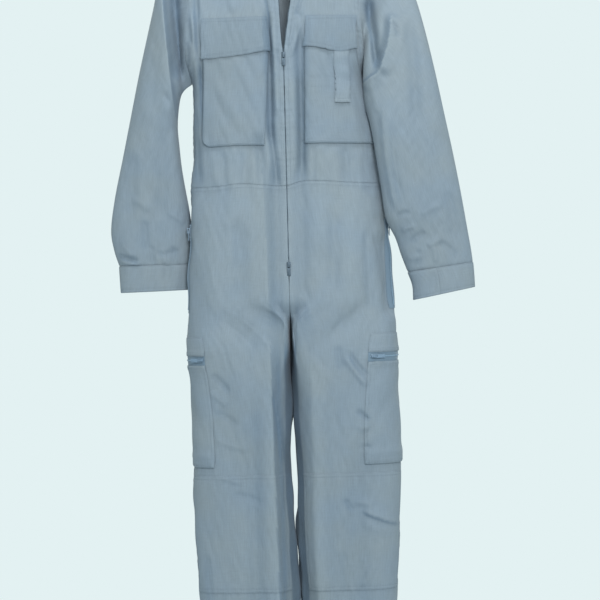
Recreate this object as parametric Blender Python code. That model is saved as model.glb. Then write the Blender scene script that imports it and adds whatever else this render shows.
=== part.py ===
"""Boiler suit on a coat hanger.

Metres, +Z up. The suit's front faces -Y and the wearer's left is +X. The origin is where the
rail bears inside the crown of the hanger's hook, so the whole suit lies below it.

The cloth is cut and sewn as the real one is: every panel is its own wall, parted from its
neighbours by a hair-wide seam gap, and what is sewn onto a panel is made from the panel's own
points moved outwards. The sizes in the tables are millimetres. Heights are measured from the
hook, and widths from the zip outwards, so they are positive on both sides.
"""

import math

import bmesh
import bpy
from mathutils import Vector

MM = 0.001

# Driving dimensions, in millimetres.
CLOTH = 1.5
PATCH_CLOTH = 1.1
SEAM_GAP = 0.3
PATCH_GAP = 0.35
TAPE = 0.8
CHAIN_RAISE = 0.9
POCKET_RAISE = 3.6
POCKET_MOUTH_DROP = 1.5
POCKET_RETURN = 2.5
BAND_RAISE = 0.4
INNER_EDGE_SHARE = 0.75
WAIST_Z = -545.0
HEM_Z = -1596.0
ZIP_SLIDER_Z = -302.0
ZIP_END_Z = -716.0
UNDERARM_Z = -345.0
NECK_HALF_WIDTH = 75.0
NECK_POINT_Z = -72.0
SHOULDER_SLOPE = 0.368
FRONT_NECK_DROP = 66.0
BACK_NECK_DROP = 13.0
RISE_TOP_Z = -120.0
RISE_FAN_FROM = 0.78
PANEL_HALF_WIDTH = 180.0
CROTCH_TOP_Z = -762.0
CROTCH_Z = -862.0
SQUARENESS = 2.5
SLEEVE_SQUARENESS = 2.2
ARMHOLE_TURN = 0.3
HANGER_ROUND = 9.0
HANG_LENGTH = 90.0
ZIP_HALF_GAP = 1.2
ZIP_OPENING_SLOPE = 0.1
HANGER_HALF_LENGTH = 190.0
HANGER_HALF_THICKNESS = 5.5
HANGER_TOP_GAP = 4.0
HOOK_INNER_RADIUS = 20.0
HOOK_WIRE_RADIUS = 2.0
HANGER_BAR_DROP = 16.0

# Sliders and pull tabs, in millimetres: half widths across, levels off the chain, lengths along.
SLIDER_HALF_WIDTH = 3.8
SLIDER_HALF_LENGTH = 5.2
BRIDGE_HALF_WIDTH = 1.4
BRIDGE_FOOT = 1.4
WEB_HALF_WIDTH = 0.7
WEB_DEPTH = 1.9
PLATE = 1.3
BRIDGE_HOLE = 2.5
BRIDGE_STRAP = 1.0
PULL_HALF_WIDTH = 3.4
PULL_EYE_HALF_WIDTH = 1.9
PULL_EYE_LENGTH = 5.8
PULL_BAR = 1.2
PULL_THICKNESS = 1.1

RIGHT, LEFT = -1, 1
FRONT, BACK = -1, 1


def table(names, *rows):
    """A list of rows, each a dictionary with the named columns."""
    columns = names.split()
    return [dict(zip(columns, row)) for row in rows]


# Side outline: armhole seam down to the underarm, then side seam down to the hem.
OUTLINE = table(
    "z right left",
    (-118, 200, 196),
    (-150, 188, 166),
    (-190, 180, 147),
    (-230, 184, 147),
    (-270, 187, 151),
    (-302, 187, 153),
    (-345, 176, 149),
    (-375, 175, 152),
    (-400, 175.5, 160),
    (-428, 176, 167),
    (-468, 177, 173),
    (-545, 182, 180),
    (-612, 185.5, 188),
    (-672, 188.8, 193),
    (-723, 191.5, 195.5),
    (-760, 193.4, 197),
    (-826, 197.2, 202),
    (-882, 197, 202),
    (-911, 193, 201.3),
    (-968, 189.8, 201),
    (-1025, 189.7, 202.3),
    (-1060, 189, 202),
    (-1092, 192.3, 204.3),
    (-1167, 193, 200.3),
    (-1263, 189.5, 195.2),
    (-1339, 186, 190.5),
    (-1596, 172, 175),
)

# Inseam edge of each leg, measured outwards from the zip line, so below 0 it is past that line.
INSEAM = table(
    "z right left",
    (-716, 2, 2),
    (-868, 2.5, 2),
    (-1000, 4, 1.5),
    (-1060, 7, 2),
    (-1110, 7, 2.5),
    (-1180, 2.5, 3),
    (-1258, -3, 6.5),
    (-1334, -6, 9.5),
    (-1596, -5, 10),
)

# Depth of the cloth before (front) and behind (back) the side seams.
TRUNK_DEPTH = table(
    "z front back",
    (-72, 58, 56),
    (-345, 58, 60),
    (-545, 60, 64),
    (-650, 70, 76),
    (-750, 78, 84),
    (-870, 80, 86),
)
LEG_DEPTH = table(
    "z front back",
    (-716, 76, 82),
    (-850, 75, 81),
    (-950, 70, 74),
    (-1092, 62, 65),
    (-1317, 56, 58),
    (-1596, 50, 53),
)

# Largest folds: soft ridges (height above 0) and troughs (below 0) from one point to another.
FRONT_FOLDS = table(
    "x_top z_top x_low z_low width height",
    (-30, -150, -15, -530, 9, 5.5),
    (-48, -200, -36, -540, 9, -6),
    (-166, -300, -166, -560, 8, -9),
    (-105, -440, -98, -640, 22, 4.5),
    (-47, -540, -42, -800, 14, 8),
    (-40, -800, -35, -1560, 13, 8),
    (-72, -900, -74, -1540, 16, -5),
    (-24, -560, -22, -820, 10, -6),
    (-150, -560, -140, -820, 20, 4.5),
    (33, -230, 28, -560, 10, -6),
    (62, -430, 66, -700, 20, 5),
    (26, -560, 24, -840, 11, -6),
    (46, -600, 42, -1560, 13, 6.5),
    (76, -880, 74, -1500, 18, -4.5),
    (120, -520, 118, -820, 24, 4.5),
    (-110, -1180, -104, -1580, 26, 4.5),
    (118, -1000, 112, -1580, 26, -4),
)
BACK_FOLDS = table(
    "x_top z_top x_low z_low width height",
    (-128, -200, -118, -700, 16, 9),
    (-92, -240, -84, -640, 12, -8),
    (-40, -260, -44, -760, 18, 8),
    (8, -300, 10, -720, 14, -8),
    (58, -230, 60, -740, 17, 9),
    (112, -260, 120, -690, 15, -8),
    (-104, -900, -98, -1560, 24, 6),
    (-56, -980, -52, -1500, 14, -6),
    (108, -860, 104, -1560, 24, 6),
    (62, -1000, 56, -1500, 14, -6),
)

# Sleeves: each ring runs between an inner (underarm) and an outer point, from armhole to cuff.
RIGHT_SLEEVE = table(
    "outer_x outer_z inner_x inner_z middle_y depth bow",
    (200, -118, 176, -345, 0, 28, 6),
    (218, -128, 190, -355, 1, 18, 5),
    (236, -148, 207, -370, 0, 40, 5),
    (246, -192, 209, -396, 3, 45, 1),
    (260.5, -250, 207, -428, 6, 46, 0),
    (279, -325, 205, -462, 9, 44, 0),
    (297, -405, 202, -500, 12, 41, 0),
    (314, -480, 197, -538, 16, 38, 0),
    (332, -558, 190, -582, 20, 34, 0),
    (341.5, -620, 185.5, -625, 24, 31, 0),
    (336.5, -660, 187, -660, 25, 28, 0),
    (327.5, -690, 189, -690, 25, 25, 0),
)
RIGHT_CUFF = table(
    "outer_x outer_z inner_x inner_z middle_y depth bow",
    (328, -690, 188.5, -690, 25, 25.5, 0),
    (327, -716, 190, -715, 25.5, 25, 0),
    (326, -742, 191.5, -739, 26, 24, 0),
)
LEFT_SLEEVE = table(
    "outer_x outer_z inner_x inner_z middle_y depth bow",
    (196, -118, 149, -345, 0, 28, 20),
    (215, -128, 155, -355, -2, 21, 22),
    (234, -148, 159, -370, -9, 41, 20),
    (253.5, -192, 160, -396, -20, 42, 17),
    (269.5, -255, 165, -428, -37, 40, 8),
    (286.5, -335, 170, -468, -44, 38, 2),
    (302, -415, 175, -512, -43, 36, 0),
    (317, -490, 181, -558, -37, 34, 0),
    (330.5, -565, 191.5, -613, -31, 31, 0),
    (342.5, -638, 206, -650, -22, 28, 0),
    (348, -672, 215, -683, -19, 26, 0),
    (351.5, -700, 227, -716, -17, 24, 0),
)
LEFT_CUFF = table(
    "outer_x outer_z inner_x inner_z middle_y depth bow",
    (352, -700, 226.5, -716, -17, 24.5, 0),
    (353.5, -723, 235, -742, -16, 24, 0),
    (354.5, -748, 236, -770, -15, 23, 0),
)
SLEEVE_RINGS = (0, 0.5, 1, 1.5, 2, 2.6, 3.4, 4.2, 5, 5.9, 6.8, 7.7, 8.6, 9.5, 10.25, 11)
CUFF_LAP_START = {RIGHT: 0.7, LEFT: 0.15}
CUFF_LAP = 0.08

# Collar, from the shoulder end of each neckline (first row) to its middle: height of the stand,
# and where the edge of the fall lies on the bodice.
FRONT_COLLAR = table(
    "turn stand fall_turn fall_rise",
    (0.79, 29, 0.68, 0.965),
    (0.86, 26, 0.74, 0.93),
    (0.93, 23, 0.82, 0.905),
    (1, 20, 0.9, 0.89),
)
BACK_COLLAR = table(
    "turn stand fall_turn fall_rise",
    (0.79, 31, 0.69, 0.985),
    (0.86, 32, 0.8, 0.975),
    (0.93, 32, 0.9, 0.97),
    (1, 32, 1, 0.97),
)
FALL_LIFT = 7.5

# Grid lines. A panel and everything sewn on it share them.
RISES = (
    0, 0.09, 0.1765, 0.27, 0.37, 0.4706, 0.52, 0.5765,
    0.666, 0.7553, 0.812, 0.87, 0.925, 0.962, 0.987, 1,
)
UNDERARM_ROW = 5
BODICE_TURNS = {
    RIGHT: (0, 0.08, 0.17, 0.26, 0.36, 0.47, 0.58, 0.69, 0.79, 0.86, 0.93, 1),
    LEFT: (0, 0.07, 0.14, 0.21, 0.32, 0.44, 0.55, 0.66, 0.79, 0.86, 0.91, 1),
}
LEG_HEIGHTS = (
    -545, -580, -612, -655, -716, -745, -784, -830, -860, -889, -935, -985,
    -1030, -1078, -1093, -1150, -1205, -1260, -1317, -1400, -1500, -1596,
)
LEG_TURNS = {
    RIGHT: (0, 0.045, 0.1, 0.18, 0.297, 0.4, 0.5, 0.62, 0.75, 0.88, 1),
    LEFT: (0, 0.045, 0.1, 0.18, 0.27, 0.382, 0.49, 0.62, 0.75, 0.88, 1),
}
THIGH_POCKET_COLUMNS = {RIGHT: 4, LEFT: 5}
THIGH_SLIDER_TURN = {RIGHT: 0.272, LEFT: 0.348}
THIGH_BAND_ROWS = (-830, -860)
THIGH_ZIP_ROWS = (-860, -870.5, -871.5, -875.5, -876.5, -889)
THIGH_CHAIN_Z = -873.5
THIGH_POCKET_END_Z = -1078
SIDE_SLIDER_Z = -626
SIDE_ZIP_END_Z = -784
SIDE_ZIP_TURNS = (0.006, 0.032, 0.036, 0.054, 0.058, 0.096)
SIDE_CHAIN_TURN = 0.045
KNEE_TOP_Z = -1093
KNEE_END_Z = -1317
CHEST_POCKET_COLUMNS = {RIGHT: (4, 10), LEFT: (3, 10)}
PEN_STRAP_COLUMNS = (5, 7)
FLAP_TOP_RISE = 0.7553
FLAP_EDGE = {
    RIGHT: table("turn rise", (0.36, 0.572), (0.58, 0.572), (0.79, 0.582), (0.93, 0.598)),
    LEFT: table(
        "turn rise", (0.21, 0.604), (0.44, 0.602), (0.62, 0.587), (0.79, 0.604), (0.91, 0.616)
    ),
}

CLOTH_GREY = ("cotton_twill", (0.245, 0.325, 0.392), 0.85, 0.0)
ZIP_TAPE = ("zip_tape", (0.155, 0.245, 0.325), 0.8, 0.0)
ZIP_METAL = ("zip_metal", (0.42, 0.45, 0.48), 0.35, 1.0)
HANGER_PLASTIC = ("hanger_plastic", (0.72, 0.74, 0.75), 0.45, 0.0)
HOOK_STEEL = ("hook_steel", (0.6, 0.61, 0.62), 0.3, 1.0)


def ease(value):
    """0 below 0, 1 above 1, and a smooth step between."""
    value = max(0.0, min(1.0, value))
    return value * value * (3 - 2 * value)


def read(rows, key, column, at):
    """A column's value where the key column is `at`, on a smooth curve through the rows."""
    keys = [row[key] for row in rows]
    turned = keys[0] > keys[-1]
    if turned:
        keys, at = [-k for k in keys], -at
    if at <= keys[0]:
        return rows[0][column]
    if at >= keys[-1]:
        return rows[-1][column]
    i = max(n for n in range(len(keys) - 1) if keys[n] <= at)
    values = [row[column] for row in rows]

    def slope(n):
        low, high = max(n - 1, 0), min(n + 1, len(keys) - 1)
        return (values[high] - values[low]) / (keys[high] - keys[low])

    span = keys[i + 1] - keys[i]
    t = (at - keys[i]) / span
    return (
        (2 * t**3 - 3 * t**2 + 1) * values[i]
        + (t**3 - 2 * t**2 + t) * span * slope(i)
        + (-2 * t**3 + 3 * t**2) * values[i + 1]
        + (t**3 - t**2) * span * slope(i + 1)
    )


def squared(value, squareness=SQUARENESS):
    """A sine or cosine bent so that the ring they draw is squarer than an ellipse."""
    return math.copysign(abs(value) ** (2 / squareness), value)


def fold_height(face, x, z):
    """How far the large folds move the cloth outwards at a point of the front or back."""
    total = 0.0
    for fold in FRONT_FOLDS if face == FRONT else BACK_FOLDS:
        run_x, run_z = fold["x_low"] - fold["x_top"], fold["z_low"] - fold["z_top"]
        share = ((x - fold["x_top"]) * run_x + (z - fold["z_top"]) * run_z) / (run_x**2 + run_z**2)
        near = max(0.0, min(1.0, share))
        gap = math.hypot(x - fold["x_top"] - near * run_x, z - fold["z_top"] - near * run_z)
        fade = ease(near * 5) * ease((1 - near) * 5)
        total += fold["height"] * fade * math.exp(-((gap / fold["width"]) ** 2))
    return total


def side_name(side):
    return "left" if side == LEFT else "right"


def shoulder_height(x):
    return NECK_POINT_Z - max(0.0, x - NECK_HALF_WIDTH) * SHOULDER_SLOPE


def front_opening(z):
    """Half of the gap between the fronts: a hair over the closed zip, a narrow V above its slider."""
    if z > ZIP_SLIDER_Z:
        return ZIP_HALF_GAP + (z - ZIP_SLIDER_Z) * ZIP_OPENING_SLOPE
    return ZIP_HALF_GAP * ease((z - ZIP_END_Z + 25) / 25)


def spread(turn, z):
    """Share of the half width at a turn. Beside the armhole the columns are spread evenly."""
    rounded = squared(math.cos(math.pi / 2 * turn))
    if turn >= ARMHOLE_TURN:
        return rounded
    even = 1 - (1 - squared(math.cos(math.pi / 2 * ARMHOLE_TURN))) * turn / ARMHOLE_TURN
    return rounded + (even - rounded) * ease((z - UNDERARM_Z) / 60)


def trunk_point(side, face, turn, z):
    """A point of the trunk. turn runs from the side (0) to the centre line (1)."""
    edge = read(OUTLINE, "z", side_name(side), z)
    across = spread(turn, z)
    x = PANEL_HALF_WIDTH * across + (edge - PANEL_HALF_WIDTH) * across**3
    if face == FRONT:
        x += front_opening(z) * (1 - across) ** 4
    below_shoulder = max(0.0, shoulder_height(x) - z)
    full_edge = edge + 45 * ease((z - UNDERARM_Z) / 120)
    side_round = max(0.0, 1 - min(1.0, x / full_edge) ** SQUARENESS) ** (1 / SQUARENESS)
    cap = min(1.0, below_shoulder / HANGER_ROUND)
    depth = HANGER_ROUND * math.sqrt(cap * (2 - cap))
    deepest = read(TRUNK_DEPTH, "z", "front" if face == FRONT else "back", z)
    depth += (deepest - HANGER_ROUND) * (1 - math.exp(-below_shoulder / HANG_LENGTH))
    folds = fold_height(face, side * x, z) * ease(below_shoulder / 60)
    return Vector((side * x, face * (depth + folds) * side_round, z))


def leg_point(side, face, turn, z):
    """A point of a leg. turn runs from the side seam (0) to the inseam (1)."""
    outer = read(OUTLINE, "z", side_name(side), z)
    inner = read(INSEAM, "z", side_name(side), z)
    depth = read(LEG_DEPTH, "z", "front" if face == FRONT else "back", z)
    x = (outer + inner) / 2 + (outer - inner) / 2 * squared(math.cos(math.pi * turn))
    folds = fold_height(face, side * x, z)
    return Vector((side * x, face * (depth + folds) * squared(math.sin(math.pi * turn)), z))


def bodice_point(side, face, turn, rise):
    """rise runs from the waist seam (0) to the neckline and shoulder seam (1)."""
    level = WAIST_Z + (RISE_TOP_Z - WAIST_Z) * rise
    across = spread(turn, RISE_TOP_Z)
    tip = OUTLINE[0][side_name(side)]
    x_top = PANEL_HALF_WIDTH * across + (tip - PANEL_HALF_WIDTH) * across**3
    top = shoulder_height(x_top)
    if x_top < NECK_HALF_WIDTH:
        share = 1 - (x_top / NECK_HALF_WIDTH) ** 2
        top -= FRONT_NECK_DROP * share**0.7 if face == FRONT else BACK_NECK_DROP * share
    fan = ease((rise - RISE_FAN_FROM) / (1 - RISE_FAN_FROM))
    return trunk_point(side, face, turn, level + (top - RISE_TOP_Z) * fan)


def lower_point(side, face, turn, z):
    """A point of the trousers: trunk above, legs below, and the crotch curve between them."""
    drift = 0.2 * turn * (1 - turn) * ease((-830 - z) / 245)
    trunk = trunk_point(side, face, turn + drift, z)
    leg = leg_point(side, face, turn + drift, z)
    return trunk.lerp(leg, ease((CROTCH_TOP_Z - z) / (CROTCH_TOP_Z - CROTCH_Z)))


def ring_point(section, side, angle):
    """A point of a sleeve ring. The angle runs from the underarm by the front to the outside."""
    inner = Vector((section["inner_x"], 0, section["inner_z"]))
    outer = Vector((section["outer_x"], 0, section["outer_z"]))
    point = (inner + outer) / 2 - (outer - inner) / 2 * squared(math.cos(angle), SLEEVE_SQUARENESS)
    point.x -= section["bow"] * math.sin(angle) ** 2
    point.y = section["middle_y"] - section["depth"] * squared(math.sin(angle), SLEEVE_SQUARENESS)
    point.x *= side
    return point


def section_at(rows, share):
    """The ring section at a share of the way through a sleeve table, from 0 to 1."""
    numbered = [dict(row, number=n) for n, row in enumerate(rows)]
    at = share * (len(rows) - 1)
    return {column: read(numbered, "number", column, at) for column in rows[0]}


def armhole_rise(share):
    """The bodice's rise at a share of the armhole, from the underarm (0) to the shoulder tip (1)."""
    low, high = UNDERARM_ROW, len(RISES) - 1
    at = low + share * (high - low)
    n = min(int(at), high - 1)
    return RISES[n] + (RISES[n + 1] - RISES[n]) * (at - n)


def sleeve_point(side, around, step):
    """around: 0 underarm, 0.25 front, 0.5 outside, 0.75 back. step: number of the table's ring."""
    rows = LEFT_SLEEVE if side == LEFT else RIGHT_SLEEVE
    face, climb = (FRONT, around * 2) if around <= 0.5 else (BACK, (1 - around) * 2)
    seam = bodice_point(side, face, 0, armhole_rise(climb))
    chord = (seam.z - rows[0]["inner_z"]) / (rows[0]["outer_z"] - rows[0]["inner_z"])
    seam_angle = math.acos(max(-1.0, min(1.0, 1 - 2 * chord)))
    if face == BACK:
        seam_angle = 2 * math.pi - seam_angle
    angle = seam_angle + (2 * math.pi * around - seam_angle) * ease(step / 3)
    first = ring_point(rows[0], side, seam_angle)
    ring = section_at(rows, step / (len(rows) - 1))
    return ring_point(ring, side, angle) + (seam - first) * (1 - ease(step / 2))


def cuff_point(side, around, share):
    rows = LEFT_CUFF if side == LEFT else RIGHT_CUFF
    return ring_point(section_at(rows, share), side, 2 * math.pi * around)


def grid_normals(grid, closed):
    """The outward direction at each point of a grid, from its neighbours."""
    rows, columns = len(grid), len(grid[0])
    normals = []
    for i in range(rows):
        line = []
        for j in range(columns):
            left = grid[i][(j - 1) % columns] if closed else grid[i][max(j - 1, 0)]
            right = grid[i][(j + 1) % columns] if closed else grid[i][min(j + 1, columns - 1)]
            up, down = grid[max(i - 1, 0)][j], grid[min(i + 1, rows - 1)][j]
            line.append((right - left).cross(down - up).normalized())
        normals.append(line)
    return normals


def sample(point, columns, rows):
    """The grid of a surface function at every row and column value."""
    return [[point(column, row) for column in columns] for row in rows]


def exact_normals(point, columns, rows, flip, down, ends):
    """Outward directions of a surface function, the same for every panel that shares the surface."""
    step = 0.003
    normals = []
    for row in rows:
        level = min(max(row, ends[0]), ends[1])
        line = []
        for column in columns:
            turn = min(max(column, step), 1 - step)
            across = point(turn + step, level) - point(turn - step, level)
            along = point(turn, level + down) - point(turn, level - down)
            line.append(across.cross(along).normalized() * flip)
        normals.append(line)
    return normals


def lift(grid, normals, height):
    """Moves a grid outwards. height is a number, or a function of row and column number."""
    rise = height if callable(height) else lambda i, j: height
    lifted = []
    for i, line in enumerate(grid):
        lifted.append([point + normals[i][j] * rise(i, j) for j, point in enumerate(line)])
    return lifted


def material(finish):
    name, colour, roughness, metallic = finish
    found = bpy.data.materials.get(name)
    if found:
        return found
    made = bpy.data.materials.new(name)
    made.use_nodes = True
    shader = made.node_tree.nodes["Principled BSDF"]
    shader.inputs["Base Color"].default_value = (*colour, 1)
    shader.inputs["Roughness"].default_value = roughness
    shader.inputs["Metallic"].default_value = metallic
    made.diffuse_color = (*colour, 1)
    return made


def add_object(name, mesh, finish):
    mesh.materials.append(material(finish))
    made = bpy.data.objects.new(name, mesh)
    bpy.context.scene.collection.objects.link(made)
    return made


def pulled_in(grid, i, j, closed, distance):
    """A border point moved into its panel, away from each border that it lies on."""
    rows, columns = len(grid), len(grid[0])
    point = grid[i][j].copy()
    if i in (0, rows - 1):
        point += (grid[1 if i == 0 else rows - 2][j] - grid[i][j]).normalized() * distance
    if not closed and j in (0, columns - 1):
        point += (grid[i][1 if j == 0 else columns - 2] - grid[i][j]).normalized() * distance
    return point


def borders(rows, columns, closed):
    """The loops of grid places round a grid's edge: one, or one at each end of a closed ring."""
    first = [(0, j) for j in range(columns)]
    last = [(rows - 1, j) for j in reversed(range(columns))]
    if closed:
        return [first + first[:1], last + last[:1]]
    right = [(i, columns - 1) for i in range(1, rows)]
    left = [(i, 0) for i in range(rows - 2, -1, -1)]
    return [first + right + last[1:] + left]


def wall(name, grid, normals, thickness=CLOTH, finish=CLOTH_GREY, closed=False, gap=SEAM_GAP):
    """A closed cloth wall: the grid is its outer face, and it is thickened inwards.

    Its borders stop half a seam gap short, and their inner edges a little more, so that two
    walls that meet at an angle stay apart.
    """
    rows, columns = len(grid), len(grid[0])
    depth = thickness if callable(thickness) else lambda i, j: thickness
    mesh = bmesh.new()
    outer, inner = {}, {}
    for i in range(rows):
        for j in range(columns):
            edge = pulled_in(grid, i, j, closed, gap / 2)
            outer[i, j] = mesh.verts.new(edge * MM)
            recess = gap / 2 + INNER_EDGE_SHARE * min(depth(i, j), CLOTH)
            edge = pulled_in(grid, i, j, closed, recess)
            inner[i, j] = mesh.verts.new((edge - normals[i][j] * depth(i, j)) * MM)
    for i in range(rows - 1):
        for j in range(columns if closed else columns - 1):
            k = (j + 1) % columns
            for corners in (((i, j), (i + 1, j), (i + 1, k)), ((i, j), (i + 1, k), (i, k))):
                mesh.faces.new([outer[place] for place in corners])
                mesh.faces.new([inner[place] for place in reversed(corners)])
    for border in borders(rows, columns, closed):
        for a, b in zip(border, border[1:]):
            mesh.faces.new((outer[a], outer[b], inner[b], inner[a]))
    bmesh.ops.recalc_face_normals(mesh, faces=mesh.faces)
    data = bpy.data.meshes.new(name)
    mesh.to_mesh(data)
    mesh.free()
    data.shade_smooth()
    data.set_sharp_from_angle(angle=math.radians(50))
    return add_object(name, data, finish)


def bodice_grid(side, face, columns, rows):
    def surface(turn, rise):
        return bodice_point(side, face, turn, rise)

    normals = exact_normals(surface, columns, rows, -side * face, down=-0.003, ends=(0.004, 0.996))
    return sample(surface, columns, rows), normals


def lower_grid(side, face, columns, rows):
    def surface(turn, z):
        return lower_point(side, face, turn, z)

    normals = exact_normals(surface, columns, rows, -side * face, down=-1.0, ends=(HEM_Z, 0))
    return sample(surface, columns, rows), normals


def make_front_bodices():
    for side in (RIGHT, LEFT):
        grid, normals = bodice_grid(side, FRONT, BODICE_TURNS[side], RISES)
        wall(f"front_bodice_{side_name(side)}", grid, normals)


def make_back_bodice():
    left, left_out = bodice_grid(LEFT, BACK, BODICE_TURNS[LEFT], RISES)
    right, right_out = bodice_grid(RIGHT, BACK, BODICE_TURNS[RIGHT], RISES)
    grid = [a + b[-2::-1] for a, b in zip(left, right)]
    wall("back_bodice", grid, [a + b[-2::-1] for a, b in zip(left_out, right_out)])


def make_trousers():
    for side in (RIGHT, LEFT):
        for face, word in ((FRONT, "front"), (BACK, "back")):
            grid, normals = lower_grid(side, face, LEG_TURNS[side], LEG_HEIGHTS)
            wall(f"trouser_{word}_{side_name(side)}", grid, normals)


def make_sleeves():
    count = 2 * (len(RISES) - 1 - UNDERARM_ROW)
    for side in (RIGHT, LEFT):
        grid = [[sleeve_point(side, n / count, ring) for n in range(count)] for ring in SLEEVE_RINGS]
        normals = [[-side * n for n in line] for line in grid_normals(grid, True)]
        wall(f"sleeve_{side_name(side)}", grid, normals, closed=True)


def make_cuffs():
    """Each cuff is a band wound once round the wrist and a little over its own end."""
    for side in (RIGHT, LEFT):
        turns = [CUFF_LAP_START[side] + (1 + CUFF_LAP) * n / 24 for n in range(25)]
        grid = [[cuff_point(side, turn, share) for turn in turns] for share in (0, 0.5, 1)]
        normals = [[-side * n for n in line] for line in grid_normals(grid, False)]
        over = [0.4 + (CLOTH + 0.6) * ease((n - 18) / 4) for n in range(25)]
        wall(f"cuff_{side_name(side)}", lift(grid, normals, lambda i, j: over[j]), normals)


def collar_columns():
    """Along the neckline from the wearer's right front, round the back, to the left front.

    The column with no face stands on the shoulder seam's end.
    """
    stations = []
    for side in (RIGHT, LEFT):
        turns = [turn for turn in BODICE_TURNS[side] if turn > 0.75]
        front = [(side, FRONT, turn) for turn in reversed(turns)]
        stations.append(front + [(side, None, turns[0])] + [(side, BACK, turn) for turn in turns])
    return stations[0] + stations[1][-2::-1]


def make_collar():
    """A plain turn-down collar: a stand up from the neckline, and a fall folded down over it."""
    lines = []
    for side, face, turn in collar_columns():
        rows = FRONT_COLLAR if face == FRONT else BACK_COLLAR
        stand = read(rows, "turn", "stand", turn)
        fall_turn = read(rows, "turn", "fall_turn", turn)
        fall_rise = read(rows, "turn", "fall_rise", turn)
        if face is None:
            seam = (bodice_point(side, FRONT, turn, 1) + bodice_point(side, BACK, turn, 1)) / 2
            edge = bodice_point(side, FRONT, fall_turn, 1) + Vector((0, 0, FALL_LIFT + 2))
        else:
            seam = bodice_point(side, face, turn, 1)
            edge, out = bodice_grid(side, face, [fall_turn], [fall_rise])
            edge = edge[0][0] + out[0][0] * FALL_LIFT
        away = Vector((edge.x - seam.x, edge.y - seam.y, 0)).normalized()
        up = Vector((0, 0, 1))
        crest = seam + up * stand + away * 4
        middle = (crest + edge) / 2 + away * 5 + up * 4
        lines.append(
            [
                seam,
                seam + up * stand * 0.55 + away * 0.5,
                crest - away * 3 - up * 3,
                crest,
                crest + away * 3.5 - up * 3.5,
                middle,
                edge,
            ]
        )
    grid = [[line[i] for line in lines] for i in range(len(lines[0]))]
    normals = grid_normals(grid, False)
    wall("collar", grid, [[-n for n in line] for line in normals], thickness=CLOTH)


def with_return(grid, normals, distance):
    """Adds a line of points just inside each border, so that a patch can stand up off its panel."""
    def widened(line):
        first = line[0] + (line[1] - line[0]).normalized() * distance
        last = line[-1] + (line[-2] - line[-1]).normalized() * distance
        return [line[0], first] + line[1:-1] + [last, line[-1]]

    def doubled(line):
        return [line[0], line[0]] + line[1:-1] + [line[-1], line[-1]]

    across = [widened(line) for line in grid]
    down = [list(line) for line in zip(*[widened(list(line)) for line in zip(*across)])]
    return down, doubled([doubled(line) for line in normals])


def patch(name, grid, normals, height, thickness=PATCH_CLOTH, finish=CLOTH_GREY):
    """A piece sewn on a panel: the panel's own points, moved out to clear it, plus a height."""
    extra = height if callable(height) else lambda i, j: height
    raised = lift(grid, normals, lambda i, j: PATCH_GAP + thickness + extra(i, j))
    return wall(name, raised, normals, thickness, finish)


def chest_pocket_grid(side, rows):
    first, last = CHEST_POCKET_COLUMNS[side]
    return bodice_grid(side, FRONT, BODICE_TURNS[side][first : last + 1], rows)


def chest_pocket_height(rise):
    """A chest pocket stands off its panel less towards its mouth, under the flap."""
    return POCKET_RAISE - POCKET_MOUTH_DROP * ease((rise - 0.56) / 0.1)


def make_chest_pockets():
    rows = [rise for rise in RISES if 0.17 < rise < 0.67]
    rows.reverse()
    for side in (RIGHT, LEFT):
        grid, normals = with_return(*chest_pocket_grid(side, rows), POCKET_RETURN)
        levels = [rows[0]] + [rows[0]] + rows[1:-1] + [rows[-1]] * 2
        last_row, last_column = len(grid) - 1, len(grid[0]) - 1

        def height(i, j):
            if j in (0, last_column) or i == last_row:
                return 0
            return chest_pocket_height(levels[i])

        patch(f"chest_pocket_{side_name(side)}", grid, normals, height)


def make_flaps():
    """Each flap is sewn along its top and lies over the mouth of its pocket."""
    for side in (RIGHT, LEFT):
        first, last = CHEST_POCKET_COLUMNS[side]
        columns = BODICE_TURNS[side][first : last + 1]
        lower = [read(FLAP_EDGE[side], "turn", "rise", turn) for turn in columns]
        grids = []
        for share in (0, 0.5, 1):
            line, out = [], []
            for turn, low in zip(columns, lower):
                rise = FLAP_TOP_RISE + (low - FLAP_TOP_RISE) * share
                point, normal = bodice_grid(side, FRONT, [turn], [rise])
                line.append(point[0][0])
                out.append(normal[0][0])
            grids.append((line, out))
        grid, normals = [g[0] for g in grids], [g[1] for g in grids]
        heights = (0, POCKET_RAISE + 1, POCKET_RAISE + 3.2)
        patch(f"flap_{side_name(side)}", grid, normals, lambda i, j: heights[i])


def make_pen_strap():
    """A strap that hangs from under the wearer's left flap."""
    rows = (0.615, 0.5765, 0.52, 0.4706, 0.37)
    first, last = PEN_STRAP_COLUMNS
    grid, normals = bodice_grid(LEFT, FRONT, BODICE_TURNS[LEFT][first : last + 1], rows)
    heights = [chest_pocket_height(rise) + PATCH_GAP + PATCH_CLOTH for rise in rows]
    patch("pen_strap", grid, normals, lambda i, j: heights[i])


def thigh_grid(side, rows):
    """Points of a trouser leg from the pocket's front edge, round the side seam, to its back edge."""
    turns = LEG_TURNS[side][: THIGH_POCKET_COLUMNS[side] + 1]
    front, front_out = lower_grid(side, FRONT, turns, rows)
    back, back_out = lower_grid(side, BACK, turns, rows)
    grid, normals = [], []
    for a, b, a_out, b_out in zip(front, back, front_out, back_out):
        grid.append(a[:0:-1] + b)
        normals.append(a_out[:0:-1] + [(a_out[0] + b_out[0]).normalized()] + b_out[1:])
    return grid, normals


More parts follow.
